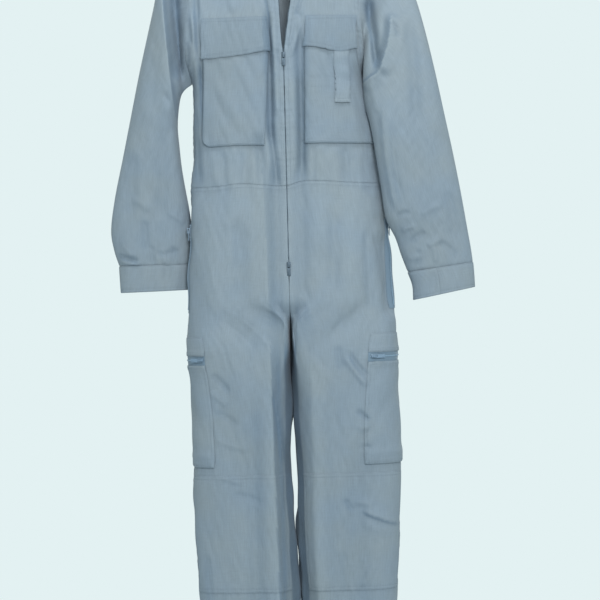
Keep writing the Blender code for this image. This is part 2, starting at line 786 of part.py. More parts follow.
def make_thigh_pockets():
    pocket_rows = [z for z in LEG_HEIGHTS if THIGH_POCKET_END_Z <= z <= THIGH_ZIP_ROWS[-1]]
    teeth = (0, 0, CHAIN_RAISE, CHAIN_RAISE, 0, 0)
    for side in (RIGHT, LEFT):
        word = side_name(side)
        patch(f"thigh_band_{word}", *thigh_grid(side, THIGH_BAND_ROWS), BAND_RAISE)
        grid, normals = thigh_grid(side, THIGH_ZIP_ROWS)
        patch_with_chain(f"thigh_zip_{word}", grid, normals, lambda i, j: teeth[i])
        grid, normals = with_return(*thigh_grid(side, pocket_rows), POCKET_RETURN)
        rim = (0, len(grid) - 1), (0, len(grid[0]) - 1)

        def height(i, j):
            return 0 if i in rim[0] or j in rim[1] else POCKET_RAISE

        patch(f"thigh_pocket_{word}", grid, normals, height)


def patch_with_chain(name, grid, normals, teeth):
    """A zip laid on a panel: tape, thickened where the closed chain runs."""
    raised = lift(grid, normals, lambda i, j: PATCH_GAP + TAPE + teeth(i, j))
    return wall(name, raised, normals, lambda i, j: TAPE + teeth(i, j), ZIP_TAPE)


def make_side_zips():
    teeth = (0, 0, CHAIN_RAISE, CHAIN_RAISE, 0, 0)
    rows = [z for z in LEG_HEIGHTS if SIDE_ZIP_END_Z <= z < SIDE_SLIDER_Z + 15]
    for side in (RIGHT, LEFT):
        grid, normals = lower_grid(side, FRONT, SIDE_ZIP_TURNS, rows)
        patch_with_chain(f"side_zip_{side_name(side)}", grid, normals, lambda i, j: teeth[j])


def make_knee_patches():
    rows = [z for z in LEG_HEIGHTS if KNEE_END_Z <= z <= KNEE_TOP_Z]
    for side in (RIGHT, LEFT):
        grid, normals = lower_grid(side, FRONT, LEG_TURNS[side][1:-1], rows)
        patch(f"knee_patch_{side_name(side)}", grid, normals, 0)


def make_front_zip():
    """Two halves of the zip, sewn behind the front edges: half a chain, and its tape."""
    offsets = (-ZIP_HALF_GAP + 0.15, 1.6, 2.2, 11)
    depths = (2.4, 2.4, TAPE, TAPE)
    starts = (0, 0, -0.5, -0.5)
    for side in (RIGHT, LEFT):
        rises = [rise for rise in reversed(RISES) if rise < 0.99]
        heights = [z for z in LEG_HEIGHTS[1:] if z >= ZIP_END_Z]
        upper = bodice_grid(side, FRONT, BODICE_TURNS[side][-2:], rises)
        lower = lower_grid(side, FRONT, LEG_TURNS[side][-2:], heights)
        grid, normals = [], []
        for line, out in zip(upper[0] + lower[0], upper[1] + lower[1]):
            along = (line[0] - line[1]).normalized()
            behind = line[1] - out[1] * (CLOTH + 0.85)
            line = [behind + along * at + out[1] * start for at, start in zip(offsets, starts)]
            grid.append(line)
            normals.append([(out[0] + out[1]).normalized()] * len(offsets))
        wall(f"front_zip_{side_name(side)}", grid, normals, lambda i, j: depths[j], ZIP_TAPE, gap=0)


def blocks(name, axes, cuts, filled, finish):
    """One closed body of the filled cells of a small grid. cuts are the cell walls on each axis."""
    origin, directions = axes
    cells = {
        (i, j, k)
        for i in range(len(cuts[0]) - 1)
        for j in range(len(cuts[1]) - 1)
        for k in range(len(cuts[2]) - 1)
        if filled(i, j, k)
    }
    mesh = bmesh.new()
    corners = {}

    def corner(key):
        if key not in corners:
            point = origin + sum((d * cut[n] for d, cut, n in zip(directions, cuts, key)), Vector())
            corners[key] = mesh.verts.new(point * MM)
        return corners[key]

    for cell in cells:
        for axis in range(3):
            for end in (0, 1):
                beside = tuple(n + (1 if end else -1) * (a == axis) for a, n in enumerate(cell))
                if beside in cells:
                    continue
                u, v = [a for a in range(3) if a != axis]
                ring = []
                for du, dv in ((0, 0), (1, 0), (1, 1), (0, 1)):
                    key = list(cell)
                    key[axis] += end
                    key[u] += du
                    key[v] += dv
                    ring.append(corner(tuple(key)))
                mesh.faces.new(ring)
    bmesh.ops.recalc_face_normals(mesh, faces=mesh.faces)
    data = bpy.data.meshes.new(name)
    mesh.to_mesh(data)
    mesh.free()
    return add_object(name, data, finish)


def mirrored(*cuts):
    """Cuts on both sides of a middle line, from the lowest to the highest."""
    return tuple(-cut for cut in reversed(cuts)) + cuts


def make_slider(name, origin, out, along, base, tab_length, web=False):
    """A slider with a bridge, and the pull tab whose eye the bridge holds.

    The tab lies along `along`, and turns about the middle of its top bar.
    """
    across = out.cross(along).normalized()
    axes = origin, (across, out, along)
    plate = base + PLATE
    hole = plate + BRIDGE_HOLE
    levels = (base - WEB_DEPTH, base, plate, hole, hole + BRIDGE_STRAP)
    width = mirrored(WEB_HALF_WIDTH, BRIDGE_HALF_WIDTH, SLIDER_HALF_WIDTH)
    length = mirrored(SLIDER_HALF_LENGTH - BRIDGE_FOOT, SLIDER_HALF_LENGTH)

    def filled(i, j, k):
        if j == 0:
            return web and i == 2 and k == 1
        if j == 1:
            return True
        return 1 <= i <= 3 and (j == 3 or k != 1)

    blocks(f"{name}_slider", axes, (width, levels, length), filled, ZIP_METAL)
    middle = (plate + hole) / 2
    bar = PULL_BAR / 2
    cuts = (
        mirrored(PULL_EYE_HALF_WIDTH, PULL_HALF_WIDTH),
        (middle - PULL_THICKNESS / 2, middle + PULL_THICKNESS / 2),
        (-bar, bar, bar + PULL_EYE_LENGTH, tab_length),
    )
    blocks(f"{name}_pull", axes, cuts, lambda i, j, k: (i, k) != (1, 1), ZIP_METAL)


def make_sliders():
    down = Vector((0, 0, -1))
    for name, z in (("front_top", ZIP_SLIDER_Z + 3), ("front_low", ZIP_END_Z + 19)):
        reach = max(-trunk_point(LEFT, FRONT, 1, z + dz).y for dz in (-6, 0, 6))
        make_slider(name, Vector((0, -reach, z)), Vector((0, -1, 0)), down, 0.6, 21, web=True)
    for side in (RIGHT, LEFT):
        word = side_name(side)
        grid, normals = lower_grid(side, FRONT, [SIDE_CHAIN_TURN], [SIDE_SLIDER_Z])
        out = Vector((normals[0][0].x, normals[0][0].y, 0)).normalized()
        make_slider(f"side_{word}", grid[0][0], out, down, PATCH_GAP + TAPE + CHAIN_RAISE + 0.5, 19)
        turn = THIGH_SLIDER_TURN[side]
        grid, normals = lower_grid(side, FRONT, [turn], [THIGH_CHAIN_Z])
        out = Vector((normals[0][0].x, normals[0][0].y, 0)).normalized()
        along = Vector((0, 0, side)).cross(out)
        make_slider(f"thigh_{word}", grid[0][0], out, along, PATCH_GAP + TAPE + CHAIN_RAISE + 0.6, 22)


def loft(name, loops, finish):
    """A closed body through loops of the same number of points, with flat ends."""
    mesh = bmesh.new()
    rings = [[mesh.verts.new(point * MM) for point in loop] for loop in loops]
    count = len(loops[0])
    for a, b in zip(rings, rings[1:]):
        for n in range(count):
            m = (n + 1) % count
            mesh.faces.new((a[n], a[m], b[m], b[n]))
    mesh.faces.new(rings[0][::-1])
    mesh.faces.new(rings[-1])
    bmesh.ops.recalc_face_normals(mesh, faces=mesh.faces)
    data = bpy.data.meshes.new(name)
    mesh.to_mesh(data)
    mesh.free()
    data.shade_smooth()
    data.set_sharp_from_angle(angle=math.radians(40))
    return add_object(name, data, finish)


def make_hanger():
    """A bar under the shoulders, and a wire hook whose crown bears at the origin."""
    stations = (-1, -0.975, -0.9, -0.6, -0.3, 0, 0.3, 0.6, 0.9, 0.975, 1)
    loops = []
    for share in stations:
        x = share * HANGER_HALF_LENGTH
        shoulder = NECK_POINT_Z - (abs(x) - NECK_HALF_WIDTH) * SHOULDER_SLOPE
        top = shoulder - HANGER_TOP_GAP
        full = min(1.0, (1 - abs(share)) * 20 + 0.5)
        radius = HANGER_HALF_THICKNESS * full
        top -= HANGER_HALF_THICKNESS * (1 - full)
        low = top - 2 * radius - HANGER_BAR_DROP * full
        loop = []
        for n in range(6):
            angle = math.pi * n / 5
            height = top - radius + radius * math.sin(angle)
            loop.append(Vector((x, radius * math.cos(angle), height)))
        loop += [Vector((x, -radius * 0.7, low)), Vector((x, radius * 0.7, low))]
        loops.append(loop)
    loft("hanger_bar", loops, HANGER_PLASTIC)
    centre_top = max(point.z for point in loops[5])
    ring = HOOK_INNER_RADIUS + HOOK_WIRE_RADIUS
    path = [Vector((0, 0, centre_top + SEAM_GAP)), Vector((0, 0, centre_top + 2.5))]
    for degrees in range(-66, 211, 23):
        angle = math.radians(degrees)
        path.append(Vector((ring * math.cos(angle), 0, ring * math.sin(angle) - HOOK_INNER_RADIUS)))
    loops = []
    for n, point in enumerate(path):
        ahead = (path[min(n + 1, len(path) - 1)] - path[max(n - 1, 0)]).normalized()
        side = Vector((0, 1, 0))
        up = ahead.cross(side)
        turns = [2 * math.pi * k / 10 for k in range(10)]
        loops.append([point + (side * math.cos(t) + up * math.sin(t)) * HOOK_WIRE_RADIUS for t in turns])
    loft("hanger_hook", loops, HOOK_STEEL)


def main():
    for old in list(bpy.data.objects):
        bpy.data.objects.remove(old, do_unlink=True)
    make_hanger()
    make_front_bodices()
    make_back_bodice()
    make_collar()
    make_sleeves()
    make_cuffs()
    make_trousers()
    make_chest_pockets()
    make_flaps()
    make_pen_strap()
    make_thigh_pockets()
    make_side_zips()
    make_knee_patches()
    make_front_zip()
    make_sliders()


main()
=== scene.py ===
"""Boiler suit on a coat hanger: cloth, zips, stitching and studio.

The suit's front faces -Y, the wearer's left is +X and the origin is in the crown of the hanger's
hook. Sizes in the tables are millimetres: heights are measured from the hook, and widths from
the zip outwards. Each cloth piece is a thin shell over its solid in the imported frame.
"""

import math
from itertools import zip_longest

import bmesh
import bpy
import numpy as np
from mathutils import Matrix, Vector


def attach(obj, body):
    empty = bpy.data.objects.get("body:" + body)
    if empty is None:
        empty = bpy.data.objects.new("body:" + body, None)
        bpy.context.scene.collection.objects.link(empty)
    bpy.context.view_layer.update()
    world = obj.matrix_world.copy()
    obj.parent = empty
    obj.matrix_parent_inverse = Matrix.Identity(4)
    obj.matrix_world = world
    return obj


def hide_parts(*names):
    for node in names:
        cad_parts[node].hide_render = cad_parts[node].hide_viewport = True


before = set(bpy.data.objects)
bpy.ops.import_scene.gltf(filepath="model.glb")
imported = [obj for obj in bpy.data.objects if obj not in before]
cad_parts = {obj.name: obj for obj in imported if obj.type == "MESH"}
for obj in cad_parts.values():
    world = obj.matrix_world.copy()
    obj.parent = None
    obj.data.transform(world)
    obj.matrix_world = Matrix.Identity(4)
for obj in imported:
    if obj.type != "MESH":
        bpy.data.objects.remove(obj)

bl_info = {
    "name": "Boiler suit on a coat hanger",
    "version": (1, 0, 0),
    "blender": (4, 5, 0),
    "location": "3D Viewport > Sidebar > Boiler suit",
    "description": "Builds a hanging boiler suit with its zips, pockets and stitching",
    "category": "Add Mesh",
}

MM = 0.001
RIGHT, LEFT = -1, 1
SIDES = ((RIGHT, "right"), (LEFT, "left"))
ALL_EDGES = ("left", "right", "top", "bottom")
FRONT, BACK = -1, 1

# Construction heights and widths, in millimetres.
SEAM_GAP = 0.05
PATCH_GAP = 0.35
SOLID_CLOTH = 1.5
# Pockets, bands and knee patches are walls of this share of their cloth, clear of what is below.
PATCH_WALL = 0.8
POCKET_RAISE = 3.6
TAPE = 0.8
WAIST_Z = -545.0
HEM_Z = -1596.0
ZIP_SLIDER_Z = -302.0
ZIP_END_Z = -716.0
UNDERARM_Z = -345.0
NECK_HALF_WIDTH = 75.0
NECK_POINT_Z = -72.0
SHOULDER_SLOPE = 0.368
FRONT_NECK_DROP = 66.0
BACK_NECK_DROP = 13.0
RISE_TOP_Z = -120.0
RISE_FAN_FROM = 0.78
UNDERARM_RISE = 0.4706
PANEL_HALF_WIDTH = 180.0
CROTCH_TOP_Z = -762.0
CROTCH_Z = -862.0
SQUARENESS = 2.5
SLEEVE_SQUARENESS = 2.2
ARMHOLE_TURN = 0.3
HANGER_ROUND = 9.0
HANG_LENGTH = 90.0
ZIP_HALF_GAP = 0.7
ZIP_OPENING_SLOPE = 0.1

# Seams: how far in from an edge its rows of stitches lie.
EDGE_STITCH = 1.8
TWIN_STITCH = 7.5
FELL_STITCH = 8
DEEP_STITCH = 6
STRAP_STITCH = 2.2
HEM_STITCH = 19
TAPE_STITCH = 1.5
# Ways to finish an edge: the width of its turned-in band, and its rows of stitches.
PLAIN = (0, ())
EDGED = (0, (EDGE_STITCH,))
TWIN = (0, (EDGE_STITCH, TWIN_STITCH))
DEEP = (0, (DEEP_STITCH,))
FELLED = (9, (EDGE_STITCH, FELL_STITCH))
WAISTED = (9, (EDGE_STITCH, TWIN_STITCH))
HEMMED = (20, (HEM_STITCH,))


def table(names, *rows):
    """A list of rows, each a dictionary with the named columns. Columns that a row leaves out
    at its end are 0."""
    columns = names.split()
    return [dict(zip_longest(columns, row, fillvalue=0)) for row in rows]


OUTLINE = table(
    "z right left",
    (-118, 200, 196),
    (-150, 188, 166),
    (-190, 180, 147),
    (-230, 184, 147),
    (-270, 187, 151),
    (-302, 187, 153),
    (-345, 176, 149),
    (-375, 175, 156),
    (-400, 175.5, 160),
    (-428, 176, 167),
    (-468, 177, 173),
    (-545, 182, 180),
    (-612, 185.5, 188),
    (-672, 188.8, 193),
    (-723, 191.5, 195.5),
    (-760, 193.4, 197),
    (-826, 197.2, 202),
    (-882, 197, 202),
    (-911, 193, 201.3),
    (-968, 189.8, 201),
    (-1025, 189.7, 202.3),
    (-1060, 189, 202),
    (-1092, 192.3, 204.3),
    (-1167, 193, 200.3),
    (-1263, 189.5, 195.2),
    (-1339, 186, 190.5),
    (-1596, 172, 175),
)
INSEAM = table(
    "z right left",
    (-716, 0.8, 0.8),
    (-868, 0.5, 0.5),
    (-975, 0.8, 0.6),
    (-1014, 3, 2),
    (-1060, 5.5, 5),
    (-1110, 5.5, 5.5),
    (-1180, 1, 4),
    (-1258, -3, 6.5),
    (-1334, -6, 9.5),
    (-1596, -5, 10),
)
# How far the front of each leg is turned away from the inseam, which shows its inner side.
FRONT_SPLIT = table(
    "z right left",
    (-775, 0, 0),
    (-860, 8, 4),
    (-955, 9, 7),
    (-1060, 9, 9),
    (-1150, 10, 11),
    (-1258, 13, 11),
    (-1596, 15, 10),
)
TRUNK_DEPTH = table(
    "z front back",
    (-72, 58, 56),
    (-345, 58, 60),
    (-545, 60, 64),
    (-650, 70, 76),
    (-750, 78, 84),
    (-870, 80, 86),
)
LEG_DEPTH = table(
    "z front back",
    (-716, 76, 82),
    (-850, 75, 81),
    (-950, 70, 74),
    (-1092, 62, 65),
    (-1317, 56, 58),
    (-1596, 50, 53),
)

# How much deeper each fold is than its row says, for cloth of this weight.
FOLD_GAIN = 1.35

# Where the sliders hold the cloth flat.
SLIDER_SPOTS = table(
    "x z wide tall",
    (0, -299, 7, 10),
    (0, -697, 7, 10),
    (-165, -874, 12, 6),
    (152, -874, 12, 6),
    (-190, -626, 12, 12),
    (190, -626, 12, 12),
)
# How the waist seam rises and falls across the front.
WAIST_WAVE = table(
    "x rise",
    (-180, 0), (-136, 0), (-89, 4), (-41, 0), (0, -2), (29, 6), (60, 6), (110, 3), (180, 0),
)
# The open top of the front leans to the wearer's left by this much.
V_LEAN = 6.0

# Folds from one point to another, x positive on the wearer's left. Height above 0 is a ridge.
# lean makes the side towards +x steeper (above 0) or gentler, and bow bends the line sideways.
FOLD_COLUMNS = "x_top z_top x_low z_low width height lean bow"
FRONT_FOLDS = table(
    FOLD_COLUMNS,
    # Lapels beside the open top, and the troughs between them and the pockets.
    (-27, -185, -30, -480, 6, -6),
    (-29, -420, -16, -556, 6, -3.4),
    (-52, -440, -44, -560, 9, -3),
    (-24, -250, -25, -500, 5, -2.4),
    (33, -230, 28, -560, 10, -6),
    (38, -186, 25, -226, 3.5, -3),
    (33, -236, 12, -306, 4, 1.8, 0, 2),
    (22, -230, 9, -285, 3.5, 1.3, 0, 1),
    (31, -310, 32, -540, 5, -2.2, 0.2),
    (18, -330, 17, -545, 7, 1.3, 0, 2),
    # Beside the armholes and under the arms.
    (-155, -296, -158, -470, 4, -5),
    (-170, -330, -168, -560, 7, -5),
    (-174, -190, -172, -430, 6, 4.4, -0.2, 4),
    (-163, -150, -162, -300, 5, -3.4, 0.2),
    (-179, -262, -184, -338, 4, 2.6, 0, 5),
    (-168, -292, -183, -342, 4, 2.2, 0.3, -3),
    (144, -214, 150, -330, 6, 2.4, 0, 4),
    (150, -330, 160, -430, 6, -3),
    (156, -420, 166, -520, 7, 2.6),
    # Chest and waist.
    (-105, -440, -98, -640, 22, 4.5),
    (62, -430, 66, -700, 20, 5),
    (-139, -470, -133, -548, 7, 1.5, 0.2),
    (-121, -474, -117, -575, 6, -1.5, 0, 2),
    (-78, -476, -82, -560, 7, -1.4),
    (-58, -472, -60, -590, 7, 1.4, 0, -2),
    (54, -466, 50, -560, 6, -1.3),
    (92, -470, 97, -580, 7, 1.5, 0, 2),
    (112, -472, 116, -556, 6, -1.5),
    (138, -474, 140, -570, 7, 1.6),
    (-96, -120, -92, -220, 12, 1.8),
    (84, -120, 92, -216, 12, 1.6),
    # Hips and thighs: the long front folds, sharp towards the inside of each leg.
    (-22, -470, -24, -830, 10, -3),
    (-22, -800, -20, -1560, 5, -2),
    (-72, -900, -74, -1540, 16, -3),
    (-150, -560, -140, -820, 20, 4.5),
    (26, -470, 24, -850, 12, -2.4),
    (76, -880, 74, -1500, 18, -2.5),
    (120, -520, 118, -820, 24, 4.5),
    (-88, -590, -92, -770, 12, -1.8),
    (-116, -600, -112, -700, 9, 1.5, 0, 3),
    (84, -590, 82, -760, 10, -2, 0, 3),
    (150, -620, 154, -800, 9, -1.8, 0, -3),
    # Pulls from the crotch.
    (-52, -744, -118, -800, 5, 1.3, 0, -4),
    (-50, -776, -104, -846, 5, -1.2, 0, -4),
    (-48, -812, -84, -900, 5, 1.1, 0, 3),
    (14, -742, 60, -836, 5, 1.6, 0, 4),
    (12, -770, 44, -880, 5, -1.6, 0, 4),
    (-8, -736, -14, -860, 4, 1.8),
    (8, -736, 9, -860, 4, 1.4),
    # Beside the thigh pockets.
    (-152, -900, -118, -938, 5, -1.8, 0, 3),
    (-156, -932, -122, -962, 5, 1.6),
    (-146, -972, -104, -1000, 5, -1.4, 0, 3),
    (-148, -1022, -84, -1044, 5, 1.3, 0, -3),
    (100, -866, 146, -932, 5, 2.4, 0, -4),
    (108, -862, 147, -912, 4, -2, 0, -4),
    (88, -850, 94, -900, 6, -2),
    (120, -974, 146, -994, 4, -2.4),
    (122, -1010, 146, -1006, 5, 1.8),
    (126, -1046, 146, -1042, 4, -1.8),
    # Knees and shins.
    (-110, -1180, -104, -1580, 26, 1.5),
    (-120, -860, -116, -1570, 44, -3),
    (118, -1000, 112, -1580, 26, -4),
    (-140, -1098, -96, -1110, 5, 1.2, 0, 2),
    (-120, -1130, -60, -1146, 6, -1.1, 0, 3),
    (-168, -1238, -164, -1345, 5, -1.8),
    (-132, -1290, -128, -1420, 9, 1.6, 0, 2),
    (96, -1142, 108, -1166, 4, -2),
    (110, -1148, 150, -1156, 6, 1.8, 0, 2),
    (128, -1184, 186, -1212, 9, 1.2, 0, -3),
    (90, -1240, 94, -1330, 7, -1.3),
    (150, -1262, 120, -1310, 6, 1.4, 0, 2),
    (60, -1350, 100, -1380, 8, -1.2, 0, 3),
    (-90, -1440, -50, -1466, 8, -1.2, 0, 3),
    (130, -1440, 84, -1490, 8, 1.3, 0, 3),
    (-150, -1500, -110, -1530, 7, 1.2, 0, 2),
)
# Sharp creases: the cloth falls away over a width on the -x side (left) and the +x side (right).
# A line that runs along x has left below it and right above it.
CREASE_COLUMNS = "x_top z_top x_low z_low left right height bow"
FRONT_CREASES = table(
    CREASE_COLUMNS,
    # Lapels beside the open top.
    (-35, -140, -18, -300, 8, 18, 5, 2),
    (-18.5, -268, -15, -420, 8, 14, 3),
    (43, -170, 28, -226, 8, 12, 3.5, -2),
    # The long front folds of the wearer's right leg, and the rims of the split between the legs.
    (-48, -480, -41, -850, 46, 26, 5, 2),
    (-40, -780, -35, -1590, 46, 27, 12, 1),
    (-34, -930, -18, -1080, 12, 9, -5),
    (38, -820, 40, -1590, 26, 60, 4, -2),
    # A sharp fold across the wearer's left shin.
    (126, -1165, 200, -1194, 6, 20, 5, -2),
)
BACK_CREASES = table(
    CREASE_COLUMNS,
    (-118, -210, -110, -560, 18, 36, 5, 4),
    (104, -230, 112, -540, 36, 18, 5, -4),
    (-90, -880, -86, -1560, 28, 40, 5, 3),
    (88, -900, 84, -1560, 40, 28, 5, -3),
)
BACK_FOLDS = table(
    FOLD_COLUMNS,
    (-128, -200, -118, -700, 16, 9, 0.2, 4),
    (-92, -240, -84, -640, 12, -8, 0, 3),
    (-40, -260, -44, -760, 18, 8, -0.2, -4),
    (8, -300, 10, -720, 14, -8, 0, 2),
    (58, -230, 60, -740, 17, 9, 0.2, -3),
    (112, -260, 120, -690, 15, -8, 0, 4),
    (-104, -900, -98, -1560, 24, 6, 0, 6),
    (-56, -980, -52, -1500, 14, -6),
    (108, -860, 104, -1560, 24, 6, 0, -6),
    (62, -1000, 56, -1500, 14, -6),
    (-150, -250, -168, -330, 6, 2.6, 0, 4),
    (-140, -300, -172, -352, 6, 2, 0, 3),
    (150, -250, 142, -350, 7, -2.4, 0, 4),
    (-66, -150, -70, -330, 9, 2, 0, 3),
    (30, -140, 34, -300, 10, 1.8, 0, -3),
    (92, -160, 88, -320, 8, -1.8, 0, 3),
    (-110, -520, -60, -560, 7, 1.6, 0, 4),
    (40, -530, 104, -566, 7, 1.6, 0, -5),
    (-20, -560, 30, -590, 8, -1.4, 0, 4),
    (-140, -590, -70, -640, 9, -1.8, 0, 6),
    (60, -600, 130, -640, 9, 1.8, 0, -6),
    (-10, -770, -90, -850, 8, 2.4, 0, 8),
    (-10, -800, -70, -900, 7, -2, 0, 6),
    (10, -770, 84, -862, 8, 2.2, 0, -8),
    (10, -800, 66, -910, 7, -2, 0, -6),
    (-140, -1060, -60, -1086, 7, 2.2, 0, 5),
    (-150, -1092, -50, -1104, 6, -2, 0, -5),
    (-130, -1124, -64, -1150, 7, 1.8, 0, 4),
    (50, -1052, 140, -1080, 7, 2.2, 0, -6),
    (44, -1086, 150, -1100, 6, -2.2, 0, 5),
    (60, -1120, 136, -1148, 7, 1.8, 0, -4),
    (-120, -1300, -60, -1340, 9, -1.4, 0, 4),
    (60, -1330, 120, -1370, 9, 1.4, 0, -4),
    (-110, -1470, -60, -1500, 8, 1.2, 0, 3),
)
SLEEVE_CREASES = {
    (RIGHT, FRONT): table(
        CREASE_COLUMNS,
        (-231, -130, -206, -440, 44, 9, 10, -2),
        (-190, -262, -182, -344, 9, 9, 4, 2),
    ),
    (RIGHT, BACK): table(CREASE_COLUMNS, (-232, -170, -222, -400, 34, 14, 6, 2)),
    (LEFT, FRONT): table(
        CREASE_COLUMNS,
        (205, -222, 174, -346, 14, 36, 11, 8),
        (144, -360, 182, -337, 28, 7, 7),
        (184, -392, 208, -610, 10, 26, 4, -8),
    ),
    (LEFT, BACK): table(CREASE_COLUMNS, (222, -170, 214, -380, 14, 34, 6, -2)),
}
# Sleeve folds, by side and face, in the same columns.
SLEEVE_FOLDS = {
    (RIGHT, FRONT): table(
        FOLD_COLUMNS,
        (-206, -150, -200, -345, 9, -10, 0, -2),
        (-196, -250, -190, -348, 4, 2.4, 0, -3),
        (-212, -330, -196, -372, 4, 2.2, 0, 2),
        (-232, -360, -206, -420, 6, -2.2, 0, 3),
        (-262, -250, -272, -430, 18, 2.2),
        (-238, -420, -244, -610, 14, -2.2, 0, 4),
        (-292, -470, -300, -600, 12, -1.8),
        (-274, -600, -272, -664, 6, -1.8),
        (-256, -668, -206, -660, 5, -1.5, 0, -4),
        (-300, -560, -262, -588, 7, 1.4, 0, 3),
        (-230, -590, -196, -612, 6, 1.5, 0, 2),
        (-320, -640, -296, -676, 6, 1.6, 0, -3),
        (-329, -668, -288, -680, 4, -3, 0, -2),
        (-328, -679, -282, -688, 3.5, 2.4, 0, -2),
        (-262, -650, -260, -690, 4, -1.6),
        (-240, -658, -238, -690, 4, 1.4),
        (-222, -652, -220, -690, 4, -1.4),
    ),
    (RIGHT, BACK): table(
        FOLD_COLUMNS,
        (-222, -180, -214, -360, 8, 3),
        (-202, -200, -206, -350, 8, -3.5),
        (-260, -250, -276, -460, 16, -3),
        (-230, -380, -222, -560, 10, 2.6, 0, 3),
        (-214, -470, -296, -520, 7, 2, 0, 6),
        (-208, -500, -280, -560, 6, -1.8, 0, 6),
        (-204, -540, -270, -590, 7, 1.8, 0, 4),
        (-300, -600, -260, -650, 7, -1.8, 0, 3),
        (-276, -640, -274, -690, 5, -2),
        (-240, -650, -240, -690, 5, 1.8),
    ),
    (LEFT, FRONT): table(
        FOLD_COLUMNS,
        (164, -180, 177, -340, 7, -10),
        (207, -240, 217, -276, 4, -3.4, 0, 3),
        (238, -230, 246, -450, 12, -3.4, 0, 3),
        (268, -230, 286, -480, 18, 2),
        (203, -420, 222, -600, 6, -1.8, 0, -8),
        (160, -352, 178, -420, 5, 1.6),
        (214, -640, 240, -630, 4, 1.8, 0, 2),
        (206, -612, 232, -604, 4, -1.5, 0, 3),
        (262, -668, 290, -652, 5, 1.8, 0, -2),
        (232, -662, 262, -640, 5, -1.8, 0, 3),
        (250, -612, 296, -590, 6, 1.3, 0, 4),
        (222, -690, 256, -684, 5, 1.6, 0, -2),
        (300, -560, 318, -660, 10, -1.8, 0, 3),
        (286, -660, 320, -690, 6, -1.5, 0, 3),
        (246, -672, 248, -706, 4, -1.5),
        (276, -668, 280, -702, 4, 1.4),
    ),
    (LEFT, BACK): table(
        FOLD_COLUMNS,
        (214, -190, 200, -340, 9, 3.2),
        (192, -200, 186, -350, 8, -3.4),
        (262, -250, 290, -480, 16, -3),
        (224, -380, 240, -560, 10, 2.6, 0, -3),
        (196, -480, 300, -530, 7, 2, 0, -6),
        (200, -520, 306, -566, 6, -1.8, 0, -6),
        (214, -560, 300, -600, 7, 1.8, 0, -4),
        (250, -640, 300, -620, 6, -1.8, 0, 3),
        (262, -654, 268, -700, 5, -1.8),
        (300, -644, 306, -694, 5, 1.8),
    ),
}

# Sleeves: each ring runs between an inner (underarm) and an outer point, from armhole to cuff.
RING_COLUMNS = "outer_x outer_z inner_x inner_z middle_y depth bow"
SLEEVES = {
    RIGHT: table(
        RING_COLUMNS,
        (200, -118, 176, -345, 0, 28, 6),
        (218, -128, 190, -355, 1, 18, 5),
        (236, -148, 199, -368, 0, 40, 5),
        (246, -192, 204.5, -396, 3, 45, 1),
        (260.5, -250, 207, -428, 6, 46, 0),
        (279, -325, 205, -462, 9, 44, 0),
        (297, -405, 202, -500, 12, 41, 0),
        (314, -480, 197, -538, 16, 38, 0),
        (332, -558, 190, -582, 20, 34, 0),
        (341.5, -620, 185.5, -625, 24, 31, 0),
        (336.5, -660, 187, -660, 25, 28, 0),
        (327.5, -690, 189, -690, 25, 25, 0),
    ),
    LEFT: table(
        RING_COLUMNS,
        (196, -118, 149, -345, 0, 28, 20),
        (215, -128, 151, -355, -5, 21, 22),
        (234, -148, 149.5, -370, -14, 41, 20),
        (253.5, -192, 152, -396, -26, 42, 17),
        (269.5, -255, 160, -428, -39, 40, 8),
        (286.5, -335, 167, -468, -44, 38, 2),
        (302, -415, 173, -512, -43, 36, 0),
        (317, -490, 179.5, -558, -37, 34, 0),
        (330.5, -565, 187, -613, -31, 31, 0),
        (342.5, -638, 204.5, -650, -22, 28, 0),
        (348, -672, 215, -683, -19, 26, 0),
        (351.5, -700, 227, -716, -17, 24, 0),
    ),
}
CUFFS = {
    RIGHT: table(
        RING_COLUMNS,
        (328, -690, 188.5, -690, 25, 25.5, 0),
        (327, -716, 190, -715, 25.5, 25, 0),
        (326, -742, 191.5, -739, 26, 24, 0),
    ),
    LEFT: table(
        RING_COLUMNS,
        (352, -700, 226.5, -716, -17, 24.5, 0),
        (353.5, -723, 235, -742, -16, 24, 0),
        (354.5, -748, 236, -770, -15, 23, 0),
    ),
}
CUFF_LAP_START = {RIGHT: 0.7, LEFT: 0.15}
CUFF_LAP = 0.08
CUFF_CLOTH = 1.5

FRONT_COLLAR = table(
    "turn stand fall_turn fall_rise",
    (0.79, 29, 0.68, 0.965),
    (0.86, 26, 0.74, 0.93),
    (0.93, 23, 0.82, 0.905),
    (1, 20, 0.9, 0.89),
)
BACK_COLLAR = table(
    "turn stand fall_turn fall_rise",
    (0.79, 31, 0.69, 0.99),
    (0.86, 32, 0.8, 0.968),
    (0.93, 32, 0.9, 0.97),
    (1, 32, 1, 0.97),
)
COLLAR_TURNS = {RIGHT: (0.79, 0.86, 0.93, 1), LEFT: (0.79, 0.86, 0.91, 1)}
FALL_LIFT = 4.0
COLLAR_CLOTH = 1.5
COLLAR_COLUMNS = 190
COLLAR_RUN = 95.0

